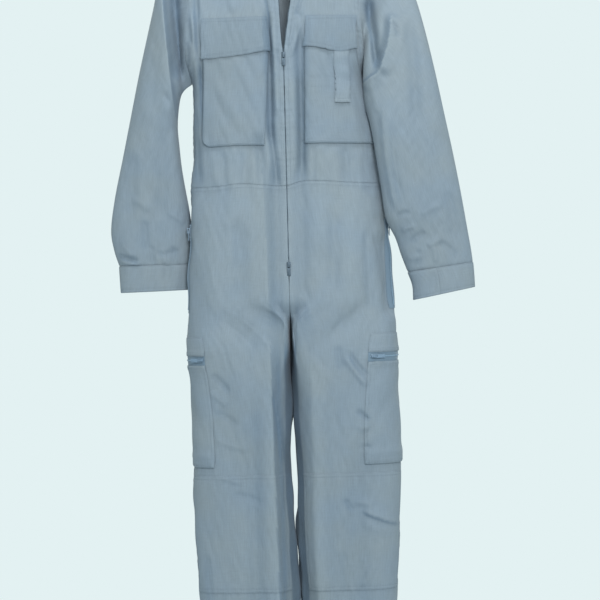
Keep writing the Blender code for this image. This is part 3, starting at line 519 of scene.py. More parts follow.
# Pockets, flaps and zips: turns are shares round the panel from the side seam to the zip.
CHEST_POCKET_RISES = (0.666, 0.1765)
CHEST_CORNER = 15.0
MOUTH_DROP = 1.5
CHEST_SIDES = {
    RIGHT: table("z outer inner", (-215, 155, 29.5), (-285, 155, 30), (-320, 151, 32), (-475, 156, 40)),
    LEFT: table("z outer inner", (-215, 142, 43.5), (-289, 138, 41), (-350, 148, 39.5), (-475, 171, 37)),
}
FLAP_TOP_RISE = 0.7553
FLAP_LOW_RISE = 0.59
FLAP_EDGE = {
    RIGHT: table("turn rise", (0.36, 0.572), (0.58, 0.572), (0.79, 0.582), (0.93, 0.598)),
    LEFT: table(
        "turn rise", (0.21, 0.604), (0.44, 0.602), (0.62, 0.587), (0.79, 0.604), (0.91, 0.616)
    ),
}
FLAP_STAND = table("share height", (0, 0), (0.5, POCKET_RAISE + 1), (1, POCKET_RAISE + 4.2))
PEN_STRAP_SIDES = (121.5, 94.5)
PEN_STRAP_RISES = (0.615, 0.358)
PEN_LINE_RISES = (0.48, 0.4353)
THIGH_TURNS = {RIGHT: 0.297, LEFT: 0.382}
THIGH_BAND_Z = (-830, -866)
THIGH_ZIP_Z = (-860, -889)
THIGH_CHAIN_Z = -873.5
THIGH_POCKET_Z = (-883, -1078)
THIGH_POCKET_TOP_RAISE = 0.8
THIGH_POCKET_RETURN = 9.0
SIDE_ZIP_TURNS = (0.006, 0.096)
SIDE_CHAIN_TURN = 0.045
SIDE_ZIP_Z = (-612, -784)
KNEE_Z = (-1093, -1317)
KNEE_TURNS = (0.045, 0.88)
# Pockets and flaps are painted this much darker and bluer on the scale of painted light and shade, and
# tapes and collar get its middle, where nothing is painted.
POCKET_DARKER = 0.1
FLAP_DARKER = 0.21
NEUTRAL_PAINTED_LIGHT = 0.5
# Grid lines in from a pocket's edge, over its rounded return and its stitches.
RETURN_LINES = (0.5, 1.2, 2.2, 3.4, 4.6, 6, 7)
# Grid lines in from a sleeve's seam.
SEAM_LINES = (0.8, 2, 3, 5.2, 7.4)
# The front zip's tape: distances from its chain, and how far behind the edge's cloth it lies there.
TAPE_ACROSS = np.array([-0.9, 0.4, 1.4, 2.6, 5, 8, 11])
TAPE_BEHIND = np.array([0.5, 0.1, 0.3, 0.4, 0.4, 0.4, 0.4])
# How far the front chain's plane lies behind the outer face of the fronts.
CHAIN_BEHIND = SOLID_CLOTH + 0.85
# Small zips: the teeth's height over their tape, and half the width of their two rows.
CHAIN_RAISE = 0.65
CHAIN_HALF_WIDTH = 0.55


# ---- the suit's form


def ease(value):
    """0 below 0, 1 above 1, and a smooth step between."""
    value = np.clip(value, 0.0, 1.0)
    return value * value * (3 - 2 * value)


def bell(value, width):
    """1 at 0, and down to nothing on both sides of it over about twice the width."""
    return np.exp(-((value / width) ** 2))


def read(rows, key, column, at):
    """A column's value where the key column is `at`, on a smooth curve through the rows."""
    keys = np.array([row[key] for row in rows], float)
    values = np.array([row[column] for row in rows], float)
    at = np.asarray(at, float)
    if keys[0] > keys[-1]:
        keys, at = -keys, -at
    numbers = np.arange(len(keys))
    low, high = np.maximum(numbers - 1, 0), np.minimum(numbers + 1, len(keys) - 1)
    slopes = (values[high] - values[low]) / (keys[high] - keys[low])
    at = np.clip(at, keys[0], keys[-1])
    i = np.clip(np.searchsorted(keys, at, side="right") - 1, 0, len(keys) - 2)
    span = keys[i + 1] - keys[i]
    t = (at - keys[i]) / span
    return (
        (2 * t**3 - 3 * t**2 + 1) * values[i]
        + (t**3 - 2 * t**2 + t) * span * slopes[i]
        + (-2 * t**3 + 3 * t**2) * values[i + 1]
        + (t**3 - t**2) * span * slopes[i + 1]
    )


def squared(value, squareness=SQUARENESS):
    """A sine or cosine bent so that the ring they draw is squarer than an ellipse."""
    return np.copysign(np.abs(value) ** (2 / squareness), value)


def place(x, y, z):
    return np.stack(np.broadcast_arrays(x, y, z), axis=-1).astype(float)


def side_name(side):
    return "left" if side == LEFT else "right"


def by_line(row, x, z):
    """Where points lie by a fold's line: how far along it as a share, how far beside its bow,
    and how far past its ends."""
    run_x, run_z = row["x_low"] - row["x_top"], row["z_low"] - row["z_top"]
    length = math.hypot(run_x, run_z)
    off_x, off_z = x - row["x_top"], z - row["z_top"]
    along = (off_x * run_x + off_z * run_z) / length**2
    near = np.clip(along, 0, 1)
    beside = (off_z * run_x - off_x * run_z) / length - row["bow"] * 4 * near * (1 - near)
    return near, beside, (along - near) * length


def folds(rows, x, z):
    """The height of a table of folds at a point."""
    total = np.zeros(np.broadcast(x, z).shape)
    for row in rows:
        near, beside, past = by_line(row, x, z)
        gap = np.hypot(beside, past)
        width = row["width"] * (1 - row["lean"] * np.tanh(2 * beside / row["width"]))
        fade = ease(near * 5) * ease((1 - near) * 5)
        total += FOLD_GAIN * row["height"] * fade * bell(gap, width)
    return total


def creases(rows, x, z, painted=False):
    """The height of a table of sharp creases at a point, or their painted light and shade there:
    painted shade on a crease's steep side, and a painted highlight along its line."""
    total = np.zeros(np.broadcast(x, z).shape)
    for row in rows:
        near, beside, past = by_line(row, x, z)
        width = np.where(beside < 0, row["left"], row["right"])
        fade = ease(near * 6) * ease((1 - near) * 6) * bell(past, 8)
        off = np.sqrt((beside / width) ** 2 + 0.001) - math.sqrt(0.001)
        fall = np.clip(1 - off, 0, 1)
        if painted:
            # Painted shade on the crease's steep side, and a painted highlight along its line.
            steep = (beside < 0) == (row["left"] < row["right"])
            line = bell(beside, 2)
            total += abs(row["height"]) * fade * np.where(steep, -0.032 * fall**0.7, 0.02 * line)
        else:
            total += row["height"] * fade * fall**1.5
    return total


def ripple(x, z, seed, across, down, waves=14):
    """An uneven undulation of about 1 high, with wavelengths near `across` and `down`."""
    draw = np.random.default_rng(seed)
    total = 0.0
    for _ in range(waves):
        wide, tall = draw.uniform(0.55, 1.6, 2)
        sign, phase = draw.choice((-1, 1)), draw.uniform(0, 2 * math.pi)
        total = total + np.cos(2 * math.pi * (x / across * wide + sign * z / down * tall) + phase)
    return total / math.sqrt(waves / 2)


def crumple(x, z, seed):
    """Small soft creases that cross each other, in patches."""
    lines = bell(ripple(x, z, seed, 30, 44), 0.5)
    return lines * ease(ripple(x, z, seed + 1, 170, 240) * 0.7 + 0.4)


def loose(x, z):
    """0 at the sliders, where the cloth is held flat, and 1 away from them."""
    share = 1.0
    for spot in SLIDER_SPOTS:
        far = np.hypot((x - spot["x"]) / spot["wide"], (z - spot["z"]) / spot["tall"])
        share = share * ease(far - 1)
    return share


def main_folds(face, x, z):
    """The folds and creases of the trunk and legs at a point of the front or back."""
    if face == BACK:
        return folds(BACK_FOLDS, x, z) + creases(BACK_CREASES, x, z)
    return (folds(FRONT_FOLDS, x, z) + creases(FRONT_CREASES, x, z)) * loose(x, z)


def relief(face, x, z):
    """How far the cloth of the trunk and legs stands out at a point of the front or back."""
    seed = 11 if face == FRONT else 41
    soft = ripple(x, z, seed, 80, 420) + 0.3 * ripple(x, z, seed + 1, 22, 60)
    soft = soft + 0.4 * crumple(x, z, seed + 2)
    return main_folds(face, x, z) + soft * (loose(x, z) if face == FRONT else 1.0)


def shoulder_height(x):
    return NECK_POINT_Z - np.maximum(0.0, x - NECK_HALF_WIDTH) * SHOULDER_SLOPE


def front_opening(z):
    """Half the gap between the fronts: a hair over the closed zip, and a narrow V above it."""
    opened = ZIP_HALF_GAP + (z - ZIP_SLIDER_Z) * ZIP_OPENING_SLOPE
    return np.where(z > ZIP_SLIDER_Z, opened, ZIP_HALF_GAP * ease((z - ZIP_END_Z + 25) / 25))


def spread(turn, z):
    """Share of the half width at a turn. Beside the armhole the columns are spread evenly."""
    rounded = squared(np.cos(math.pi / 2 * turn))
    even = 1 - (1 - squared(math.cos(math.pi / 2 * ARMHOLE_TURN))) * turn / ARMHOLE_TURN
    beside = rounded + (even - rounded) * ease((z - UNDERARM_Z) / 60)
    return np.where(turn >= ARMHOLE_TURN, rounded, beside)


def side_zip_bed(side, face, y, z):
    """How far the wearer's left side moves out, so that its zip lies turned to the front."""
    if side == RIGHT:
        return 0.0
    deep = np.abs(y)
    rim = 1.5 * (1 - ease(deep / 9))
    if face == FRONT:
        drop = 5 + 6 * ease((-634 - z) / 26)
        rim = rim - drop * ease((deep - 6) / 16) * (1 - ease((deep - 28) / 28))
    return rim * ease((-594 - z) / 22) * ease((z + 808) / 22)


def trunk_point(side, face, turn, z):
    """A point of the trunk. turn runs from the side (0) to the centre line (1)."""
    edge = read(OUTLINE, "z", side_name(side), z)
    across = spread(turn, z)
    x = PANEL_HALF_WIDTH * across + (edge - PANEL_HALF_WIDTH) * across**3
    if face == FRONT:
        x = x + front_opening(z) * (1 - across) ** 4
    below = np.maximum(0.0, shoulder_height(x) - z)
    full_edge = edge + 45 * ease((z - UNDERARM_Z) / 120)
    inside = 1 - np.clip(x / full_edge, 0, 1) ** SQUARENESS
    side_round = np.maximum(0.0, inside) ** (1 / SQUARENESS)
    cap = np.minimum(1.0, below / HANGER_ROUND)
    depth = HANGER_ROUND * np.sqrt(cap * (2 - cap))
    deepest = read(TRUNK_DEPTH, "z", "front" if face == FRONT else "back", z)
    depth = depth + (deepest - HANGER_ROUND) * (1 - np.exp(-below / HANG_LENGTH))
    raised = relief(face, side * x, z) * ease(below / 60)
    y = face * (depth + raised) * side_round
    flank = ripple(y, z, 31 + side, 60, 130) * (1 - side_round) * ease((UNDERARM_Z - z) / 60)
    flank = flank * loose(side * x, z) + side_zip_bed(side, face, y, z)
    if face == FRONT:
        lean = V_LEAN * ease((z - ZIP_SLIDER_Z) / 160) * (1 - across) ** 3
        wave = read(WAIST_WAVE, "x", "rise", side * x) * side_round
        z = z + wave * bell(z - WAIST_Z, 60)
        return place(side * (x + flank) + lean, y, z)
    return place(side * (x + flank), y, z)


def leg_point(side, face, turn, z):
    """A point of a leg. turn runs from the side seam (0) to the inseam (1)."""
    outer = read(OUTLINE, "z", side_name(side), z)
    inner = read(INSEAM, "z", side_name(side), z)
    depth = read(LEG_DEPTH, "z", "front" if face == FRONT else "back", z)
    across = squared(np.cos(math.pi * turn))
    round_off = squared(np.sin(math.pi * turn))
    x = (outer + inner) / 2 + (outer - inner) / 2 * across
    y = face * (depth + relief(face, side * x, z)) * round_off
    flank = ripple(y, z, 31 + side, 60, 130) * (1 - np.abs(round_off)) * across
    return place(side * (x + 0.9 * flank), y, z)


def bodice_point(side, face, turn, rise):
    """rise runs from the waist seam (0) to the neckline and shoulder seam (1)."""
    level = WAIST_Z + (RISE_TOP_Z - WAIST_Z) * rise
    across = spread(turn, RISE_TOP_Z)
    tip = OUTLINE[0][side_name(side)]
    x_top = PANEL_HALF_WIDTH * across + (tip - PANEL_HALF_WIDTH) * across**3
    share = np.maximum(0.0, 1 - (x_top / NECK_HALF_WIDTH) ** 2)
    drop = FRONT_NECK_DROP * share**0.7 if face == FRONT else BACK_NECK_DROP * share
    top = shoulder_height(x_top) - drop
    fan = ease((rise - RISE_FAN_FROM) / (1 - RISE_FAN_FROM))
    return trunk_point(side, face, turn, level + (top - RISE_TOP_Z) * fan)


def lower_point(side, face, turn, z):
    """A point of the trousers: trunk above, legs below, and the crotch curve between them."""
    # Down the legs the grid's columns move a little towards the inseam.
    drift = 0.2 * turn * (1 - turn) * ease((-830 - z) / 245)
    trunk = trunk_point(side, face, turn + drift, z)
    leg = leg_point(side, face, turn + drift, z)
    share = ease((CROTCH_TOP_Z - z) / (CROTCH_TOP_Z - CROTCH_Z))
    share = np.broadcast_to(share, trunk.shape[:-1])[..., None]
    made = trunk + (leg - trunk) * share
    if face == BACK:
        # Both backs lean to one side beside the inseam, so that no light shows between them.
        near = ease((turn - 0.72) / 0.18) * (1 - ease((turn - 0.93) / 0.07) * ease((-790 - z) / 60))
        upper = 6.5 * ease((-758 - z) / 30) * ease((z + 1014) / 50)
        made[..., 0] += near * (upper - 5 * ease((-1150 - z) / 40))
    else:
        apart = ease((turn - 0.6) / 0.2) * (1 - ease((turn - 0.84) / 0.16))
        made[..., 0] += side * apart * read(FRONT_SPLIT, "z", side_name(side), z)
        # The fronts of the legs stay flat and meet, with a tight edge, in front of the crotch.
        tight = ease(share[..., 0] / 0.3) * (1 - ease((-840 - z) / 70))
        pinch = 2.5 * share[..., 0] * (1 - share[..., 0]) * ease((turn - 0.68) / 0.16)
        made[..., 0] *= 1 - pinch
        rim = ease((turn - 0.55) / 0.27) * (1 - ease((turn - 0.86 - 0.07 * tight) / 0.08))
        made[..., 1] -= 8 * rim * ease((-766 - z) / 180)
        edge = (turn - 0.84 - 0.1 * tight) / (0.12 - 0.06 * tight)
        flat = (1 - ease(edge)) * ease((turn - 0.45) / 0.2)
        flat = flat * (share[..., 0] - ease((CROTCH_TOP_Z - z) / 220))
        made[..., 1] -= (leg[..., 1] - trunk[..., 1]) * flat
    return made


def ring_point(section, side, angle, raised=0.0):
    """A point of a sleeve ring. The angle runs from the underarm by the front to the outside."""
    turn = squared(np.cos(angle), SLEEVE_SQUARENESS)
    x = (section["inner_x"] + section["outer_x"]) / 2
    x = x - (section["outer_x"] - section["inner_x"]) / 2 * turn
    z = (section["inner_z"] + section["outer_z"]) / 2
    z = z - (section["outer_z"] - section["inner_z"]) / 2 * turn
    depth = section["depth"] + raised
    y = section["middle_y"] - depth * squared(np.sin(angle), SLEEVE_SQUARENESS)
    return place(side * (x - section["bow"] * np.sin(angle) ** 2), y, z)


def section_at(rows, share):
    """The ring section at a share of the way through a sleeve table, from 0 to 1."""
    numbered = [dict(row, number=n) for n, row in enumerate(rows)]
    at = share * (len(rows) - 1)
    return {column: read(numbered, "number", column, at) for column in rows[0]}


def sleeve_relief(side, point):
    """Folds and creases of a sleeve at points of its ring."""
    x, z = point[..., 0], point[..., 2]
    front, back = (
        folds(SLEEVE_FOLDS[side, face], x, z) + creases(SLEEVE_CREASES[side, face], x, z)
        for face in (FRONT, BACK)
    )
    total = 0.7 * ripple(x, z, 71 + side, 70, 300) + 0.26 * ripple(x, z, 74 + side, 22, 46)
    total = total + 0.35 * crumple(x, z, 77 + side * 3)
    return total, front, back


def sleeve_point(side, around, step):
    """around: 0 underarm, 0.25 front, 0.5 outside, 0.75 back. step: number of the table's ring."""
    rows = SLEEVES[side]
    around, step = np.broadcast_arrays(np.asarray(around, float) % 1.0, np.asarray(step, float))
    ahead = around <= 0.5
    climb = np.where(ahead, around * 2, (1 - around) * 2)
    rise = UNDERARM_RISE + climb * (1 - UNDERARM_RISE)
    seams = [bodice_point(side, face, 0.0, rise) for face in (FRONT, BACK)]
    seam = np.where(ahead[..., None], *seams)
    chord = (seam[..., 2] - rows[0]["inner_z"]) / (rows[0]["outer_z"] - rows[0]["inner_z"])
    seam_angle = np.arccos(np.clip(1 - 2 * chord, -1, 1))
    seam_angle = np.where(ahead, seam_angle, 2 * math.pi - seam_angle)
    angle = seam_angle + (2 * math.pi * around - seam_angle) * ease(step / 3)
    first = ring_point(rows[0], side, seam_angle)
    ring = section_at(rows, step / (len(rows) - 1))
    blend = np.broadcast_to(1 - ease(step / 2), first.shape[:-1])[..., None]
    shift = (seam - first) * blend
    total, front, back = sleeve_relief(side, ring_point(ring, side, angle) + shift)
    raised = (total + np.where(ahead, front, back)) * ease(step / 0.8)
    return ring_point(ring, side, angle, raised) + shift


def cuff_relief(side, points):
    return 0.5 * ripple(points[..., 0], points[..., 2], 91 + side, 46, 150)


def cuff_point(side, around, share):
    section = section_at(CUFFS[side], share)
    flat = ring_point(section, side, 2 * math.pi * around)
    return ring_point(section, side, 2 * math.pi * around, cuff_relief(side, flat))


class Surface:
    """A cloth surface: its point function, the height of its folds with the painted light and shade
    of its creases, and how its outward directions are found."""

    def __init__(self, point, fold_shading, column_step, row_step, column_ends, row_ends, flip):
        self.point = point
        self.fold_shading = fold_shading
        self.steps = column_step, row_step
        self.ends = column_ends, row_ends
        self.flip = flip

    def out(self, columns, rows):
        column = np.clip(columns, *self.ends[0])
        row = np.clip(rows, *self.ends[1])
        c, r = self.steps
        across = self.point(column + c, row) - self.point(column - c, row)
        along = self.point(column, row + r) - self.point(column, row - r)
        return unit(np.cross(across, along)) * self.flip


def unit(vectors):
    return vectors / np.maximum(np.linalg.norm(vectors, axis=-1, keepdims=True), 1e-9)


def trunk_fold_shading(face, points):
    """The folds of the trunk and legs and the painted light and shade of their creases, both at half
    strength on the back.
    """
    x, z = points[..., 0], points[..., 2]
    if face == BACK:
        return 0.5 * main_folds(face, x, z), 0.5 * creases(BACK_CREASES, x, z, painted=True)
    return main_folds(face, x, z), creases(FRONT_CREASES, x, z, painted=True) * loose(x, z)


def bodice(side, face):
    def point(turn, rise):
        return bodice_point(side, face, turn, rise)

    def fold_shading(points, turn):
        return trunk_fold_shading(face, points)

    return Surface(point, fold_shading, 0.003, -0.003, (0.003, 0.997), (0.004, 0.996), -side * face)


def lower(side, face):
    def point(turn, z):
        return lower_point(side, face, turn, z)

    def fold_shading(points, turn):
        folded, painted = trunk_fold_shading(face, points)
        # Painted shade on the fronts beside the inseam, below the crotch, where the gap between the legs
        # lies in shade.
        between = ease((turn - 0.865) / 0.03) * ease((-830 - points[..., 2]) / 40)
        return folded, painted - 0.6 * between

    return Surface(point, fold_shading, 0.003, -1.0, (0.003, 0.997), (HEM_Z, 0), -side * face)


def thigh(side):
    """A leg's surface round its side seam: turns below 0 are in front, and above 0 behind."""

    def point(turn, z):
        ahead = lower_point(side, FRONT, np.abs(turn), z)
        behind = lower_point(side, BACK, np.abs(turn), z)
        return np.where((np.asarray(turn) < 0)[..., None], ahead, behind)

    def fold_shading(points, turn):
        ahead, behind = trunk_fold_shading(FRONT, points), trunk_fold_shading(BACK, points)
        return np.where(turn < 0, ahead[0], behind[0]), np.where(turn < 0, ahead[1], behind[1])

    return Surface(point, fold_shading, 0.004, -1.0, (-1, 1), (HEM_Z, 0), -side)


def sleeve(side):
    def point(around, step):
        return sleeve_point(side, around, step)

    def fold_shading(points, around):
        _, ahead, behind = sleeve_relief(side, points)
        x, z = points[..., 0], points[..., 2]
        # Painted light and shade of the sleeve's creases, front and back.
        painted = [creases(SLEEVE_CREASES[side, face], x, z, painted=True) for face in (FRONT, BACK)]
        return np.where(around <= 0.5, ahead, behind), np.where(around <= 0.5, *painted)

    return Surface(point, fold_shading, 0.004, 0.03, (-9, 9), (0.03, 10.97), -side)


def cuff(side):
    def point(around, share):
        return cuff_point(side, around, share)

    def fold_shading(points, around):
        return cuff_relief(side, points), 0.0

    return Surface(point, fold_shading, 0.004, 0.02, (-9, 9), (0.02, 0.98), -side)


# ---- grids of cloth


def spaced(length, step, near=(), far=()):
    """Distances from 0 to a length: even steps, and given distances in from either end."""
    even = np.linspace(0, length, max(2, round(length / step) + 1))
    extra = [d for d in near if d < length / 2] + [length - d for d in far if d < length / 2]
    kept = [d for d in even[1:-1] if all(abs(d - other) > 0.35 * step for other in extra)]
    return np.unique(np.array([0.0, length] + kept + extra))


def run_length(points, axis):
    """Distances along each row (axis 1) or column (axis 0) of a grid of points."""
    steps = np.linalg.norm(np.diff(points, axis=axis), axis=-1)
    shape = list(points.shape[:-1])
    shape[axis] = 1
    return np.concatenate([np.zeros(shape), np.cumsum(steps, axis=axis)], axis=axis)


def even_values(point, start, end, step, near=(), far=()):
    """Values from start to end that lie evenly along the line point(value), with extra ones."""
    values = np.linspace(start, end, 500)
    run = run_length(point(values)[None], 1)[0]
    return np.interp(spaced(run[-1], step, near, far), run, values)


def painted_fold_light(points, height, painted):
    """Painted light and shade from the folds: 1, a painted highlight, on ridges, about 0.5 on flat
    cloth, and 0, painted shade, on slopes and in troughs.
    """
    slope = 0.0
    for axis in (0, 1):
        step = np.gradient(run_length(points, axis), axis=axis)
        slope = slope + (np.gradient(height, axis=axis) / np.maximum(step, 0.3)) ** 2
    return np.clip(0.53 + 0.02 * height - 0.4 * np.sqrt(slope) + painted, 0, 1)


class Panel:
    """A grid of points on a piece of cloth, with outward directions, its painted light and shade, and
    distances along it. A closed panel is a tube, whose last column meets its first."""

    def __init__(self, points, out, tone, closed=False):
        self.points = points
        self.out = out
        self.tone = tone
        self.closed = closed

    def inward(self, edge):
        """How far in each point lies from an edge. Left and right end the rows of points, and
        top and bottom the columns."""
        run = run_length(self.points, 1 if edge in ("left", "right") else 0)
        if edge == "right":
            return run[:, -1:] - run
        if edge == "bottom":
            return run[-1:] - run
        return run

    def nearest(self, edges):
        """How far in each point lies from the nearest of some edges."""
        return np.minimum.reduce([self.inward(edge) for edge in edges])

    def lift(self, height):
        self.points = self.points + self.out * np.asarray(height)[..., None]
        return self

    def line(self, edge, distance, skip=(0, 0)):
        """Points and directions along the panel, a set distance in from one edge."""
        run, points, out = self.inward(edge), self.points, self.out
        if edge in ("top", "bottom"):
            run, points, out = run.T, points.transpose(1, 0, 2), out.transpose(1, 0, 2)
        if edge in ("right", "bottom"):
            run, points, out = run[:, ::-1], points[:, ::-1], out[:, ::-1]
        found = np.array(
            [
                [np.interp(distance, r, values[:, k]) for values in (p, o) for k in range(3)]
                for r, p, o in zip(run, points, out)
            ]
        )
        along = run_length(found[None, :, :3], 1)[0]
        kept = (along >= skip[0]) & (along <= along[-1] - skip[1])
        return found[kept, :3], unit(found[kept, 3:])

    def lines(self, edges, distances):
        """Lines at each distance in from each edge, which stop as far short of their ends."""
        return [self.line(edge, far, (far, far)) for edge in edges for far in distances]

    def cut(self):
        """Width, length and area of the flat cut, in metres."""
        points = self.points
        if self.closed:
            points = np.concatenate([points, points[:, :1]], axis=1)
        width = float(run_length(points, 1)[:, -1].max()) * MM
        length = float(run_length(points, 0)[-1].max()) * MM
        a, b = points[1:, 1:] - points[:-1, :-1], points[1:, :-1] - points[:-1, 1:]
        area = float(np.linalg.norm(np.cross(a, b), axis=-1).sum()) / 2 * MM**2
        return width, length, min(area, width * length)


def panel_on(surface, columns, rows, closed=False):
    """A panel whose points follow a cloth surface."""
    points = surface.point(columns, rows)
    tone = painted_fold_light(points, *surface.fold_shading(points, columns))
    return Panel(points, surface.out(columns, rows), tone, closed)


EDGE_ROLL = 1.3


def groove(inward, at, depth):
    """The groove that a row of stitches presses into the cloth."""
    return -depth * bell(inward - at, 0.9)


def sewn(panel, edges):
    """Heights of the seams round a panel: the cloth rolls under at each edge, a turned-in band
    stands up and puckers the cloth beside it, and rows of stitches press grooves. edges gives,
    for each edge, the band's width and how far in its rows of stitches lie."""
    total = np.zeros(panel.points.shape[:-1])
    for edge, (band, rows) in edges.items():
        inward = panel.inward(edge)
        rolled = 0.65 if rows and not band else 0.3
        total += -rolled * bell(inward, EDGE_ROLL)
        if band:
            total += 0.4 * ease((band + 1.2 - inward) / 2)
            along = panel.inward("top" if edge in ("left", "right") else "left")
            total += 0.22 * bell(inward, band + 7) * ripple(along, 0, len(edge), 17, 1)
        for at in rows:
            total += groove(inward, at, 0.3)
    return total


def near_lines(edges, edge):
    """Grid lines that an edge's roll, band and stitches need."""
    band, rows = edges.get(edge, PLAIN)
    lines = [0.7, 1.8] + [at + shift for at in rows for shift in (-1.1, 0, 1.1)]
    if band:
        lines += [band - 0.6, band + 1.2]
    lines = sorted(line for line in lines if line > 0.4)
    return [b for a, b in zip([0] + lines, lines) if b - a > 0.3]


def edged_values(point, start, end, step, edges, first, last):
    """Even values between two edges of a panel, with the grid lines that each edge needs."""
    return even_values(point, start, end, step, near_lines(edges, first), near_lines(edges, last))


def mesh_object(name, points, faces, finish, uv=None, tone=None):
    """A mesh in millimetres made into an object at the origin. uv holds a pair for each face corner
    and tone a number for each point: the painted light and shade that the cloth reads."""
    mesh = bpy.data.meshes.new(name)
    mesh.from_pydata((np.asarray(points) * MM).tolist(), [], faces)
    if uv is not None:
        layer = mesh.uv_layers.new(name="cloth")
        layer.data.foreach_set("uv", np.asarray(uv, np.float32).ravel())
    if tone is not None:
        layer = mesh.attributes.new("tone", "FLOAT", "POINT")
        layer.data.foreach_set("value", np.asarray(tone, np.float32).ravel())
    mesh.shade_smooth()
    mesh.set_sharp_from_angle(angle=math.radians(60))
    mesh.materials.append(finish)
    made = bpy.data.objects.new(name, mesh)
    bpy.context.scene.collection.objects.link(made)
    return made


def grid_out(points, closed, like):
    """Outward directions of a grid of points, turned the same way as another set."""
    if closed:
        across = np.roll(points, -1, axis=1) - np.roll(points, 1, axis=1)
    else:
        across = np.gradient(points, axis=1)
    out = unit(np.cross(across, np.gradient(points, axis=0)))
    return out * np.sign((out * like).sum())


def drawn_in(points, closed, distance):
    """A grid whose border points are moved into it."""
    made = points.copy()
    made[0] += unit(points[1] - points[0]) * distance
    made[-1] += unit(points[-2] - points[-1]) * distance
    if not closed:
        made[:, 0] += unit(points[:, 1] - points[:, 0]) * distance
        made[:, -1] += unit(points[:, -2] - points[:, -1]) * distance
    return made


# Painted shade on the cut rims of each cloth wall: a little darker than flat cloth.
EDGE_PAINTED_SHADE = 0.42


def border_loops(rows, columns, closed):
    """Loops of grid places round the border, as rows of (row, column, column for the UV map)."""
    first = [(0, j % columns, j) for j in range(columns + closed)]
    last = [(rows - 1, j % columns, j) for j in reversed(range(columns + closed))]
    if closed:
        return [first, last]
    right = [(i, columns - 1, columns - 1) for i in range(1, rows)]
    left = [(i, 0, 0) for i in range(rows - 2, -1, -1)]
    return [first + right + last[1:] + left]


def shell(name, panel, thickness, finish, gap=SEAM_GAP):
    """A closed cloth wall: the panel's points are its outer face, and its edges are rounded."""
    points, closed = panel.points, panel.closed
    rows, columns = points.shape[:2]
    out = grid_out(points, closed, panel.out)
    soft = min(0.35 * thickness, 0.4)
    outer = drawn_in(points, closed, gap / 2 + soft)
    inner = outer - out * thickness
    middle = drawn_in(points, closed, gap / 2) - out * thickness / 2
    wrapped = np.concatenate([points, points[:, :1]], axis=1) if closed else points
    flat = np.stack([run_length(wrapped, 1), -run_length(wrapped, 0)], axis=-1) * MM

    i, j = (a.ravel() for a in np.mgrid[0 : rows - 1, 0 : columns if closed else columns - 1])
    corners = ((i, j), (i + 1, j), (i + 1, j + 1), (i, j + 1))
    ids = np.stack([a * columns + b % columns for a, b in corners], axis=1)
    uvs = np.stack([flat[a, b] for a, b in corners], axis=1)
    a, b, c = (outer.reshape(-1, 3)[ids[:, k]] for k in (0, 1, 3))
    facing = (np.cross(b - a, c - a) * out.reshape(-1, 3)[ids[:, 0]]).sum()
    if facing < 0:
        ids, uvs = ids[:, ::-1], uvs[:, ::-1]
    count = rows * columns
    faces = ids.tolist() + (ids[:, ::-1] + count).tolist()
    maps = [uvs.reshape(-1, 2), uvs[:, ::-1].reshape(-1, 2)]
    rims, start = [], 2 * count
    for loop in border_loops(rows, columns, closed):
        ring = len(loop) - 1
        rims += [middle[r, c] for r, c, _ in loop[:-1]]
        for n, (one, two) in enumerate(zip(loop, loop[1:])):
            top = one[0] * columns + one[1], two[0] * columns + two[1]
            mid = start + n, start + (n + 1) % ring
            quads = (
                (top[0], top[1], mid[1], mid[0]),
                (mid[0], mid[1], top[1] + count, top[0] + count),
            )
            edge = [flat[one[0], one[2]], flat[two[0], two[2]]]
            for quad in quads:
                pair = [edge[0], edge[1], edge[1], edge[0]]
                faces.append(quad if facing < 0 else quad[::-1])
                maps.append(np.array(pair if facing < 0 else pair[::-1]))
        start += ring
    verts = np.concatenate([outer.reshape(-1, 3), inner.reshape(-1, 3), np.array(rims)])
    # Painted light and shade for each point of both faces, and the rims' painted shade.
    tone = panel.tone.ravel()
    tone = np.concatenate([tone, tone, np.full(len(rims), EDGE_PAINTED_SHADE)])
    return mesh_object(name, verts, faces, finish, np.concatenate(maps), tone)


def put_on(piece, node, body="suit"):
    """Puts a finished piece on a body in place of its solid."""
    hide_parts(node)
    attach(piece, body)


def cloth_piece(name, panel, thickness, node, slot="cotton_twill", gap=SEAM_GAP):
    """Makes a panel a cloth wall in place of its solid, and works out its cut, which is not used."""
    piece = shell(name, panel, thickness, material(slot), gap)
    width, length, area = panel.cut()
    put_on(piece, node)


# ---- what repeats


def pattern_of(piece):
    """The points and faces of a small modelled shape, in millimetres. The shape is then removed."""
    points = np.array([vertex.co for vertex in piece.data.vertices]) / MM
    faces = [list(face.vertices) for face in piece.data.polygons]
    bpy.data.objects.remove(piece)
    return points, faces


def scatter(name, pattern, spots, finish):
    """Joins copies of a small shape. spots are (points, along, out), which turn its X and Z."""
    shape, faces = pattern
    verts, all_faces, start = [], [], 0
    for points, along, out in spots:
        if not len(points):
            continue
        along = unit(along)
        side = unit(np.cross(out, along))
        axes = np.stack([along, side, np.cross(along, side)], axis=1)
        copies = points[:, None, :] + np.einsum("vk,nkc->nvc", shape, axes)
        verts.append(copies.reshape(-1, 3))
        for n in range(len(points)):
            shift = start + n * len(shape)
            all_faces += [[v + shift for v in face] for face in faces]
        start += len(points) * len(shape)
    made = mesh_object(name, np.concatenate(verts), all_faces, material(finish))
    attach(made, "suit")


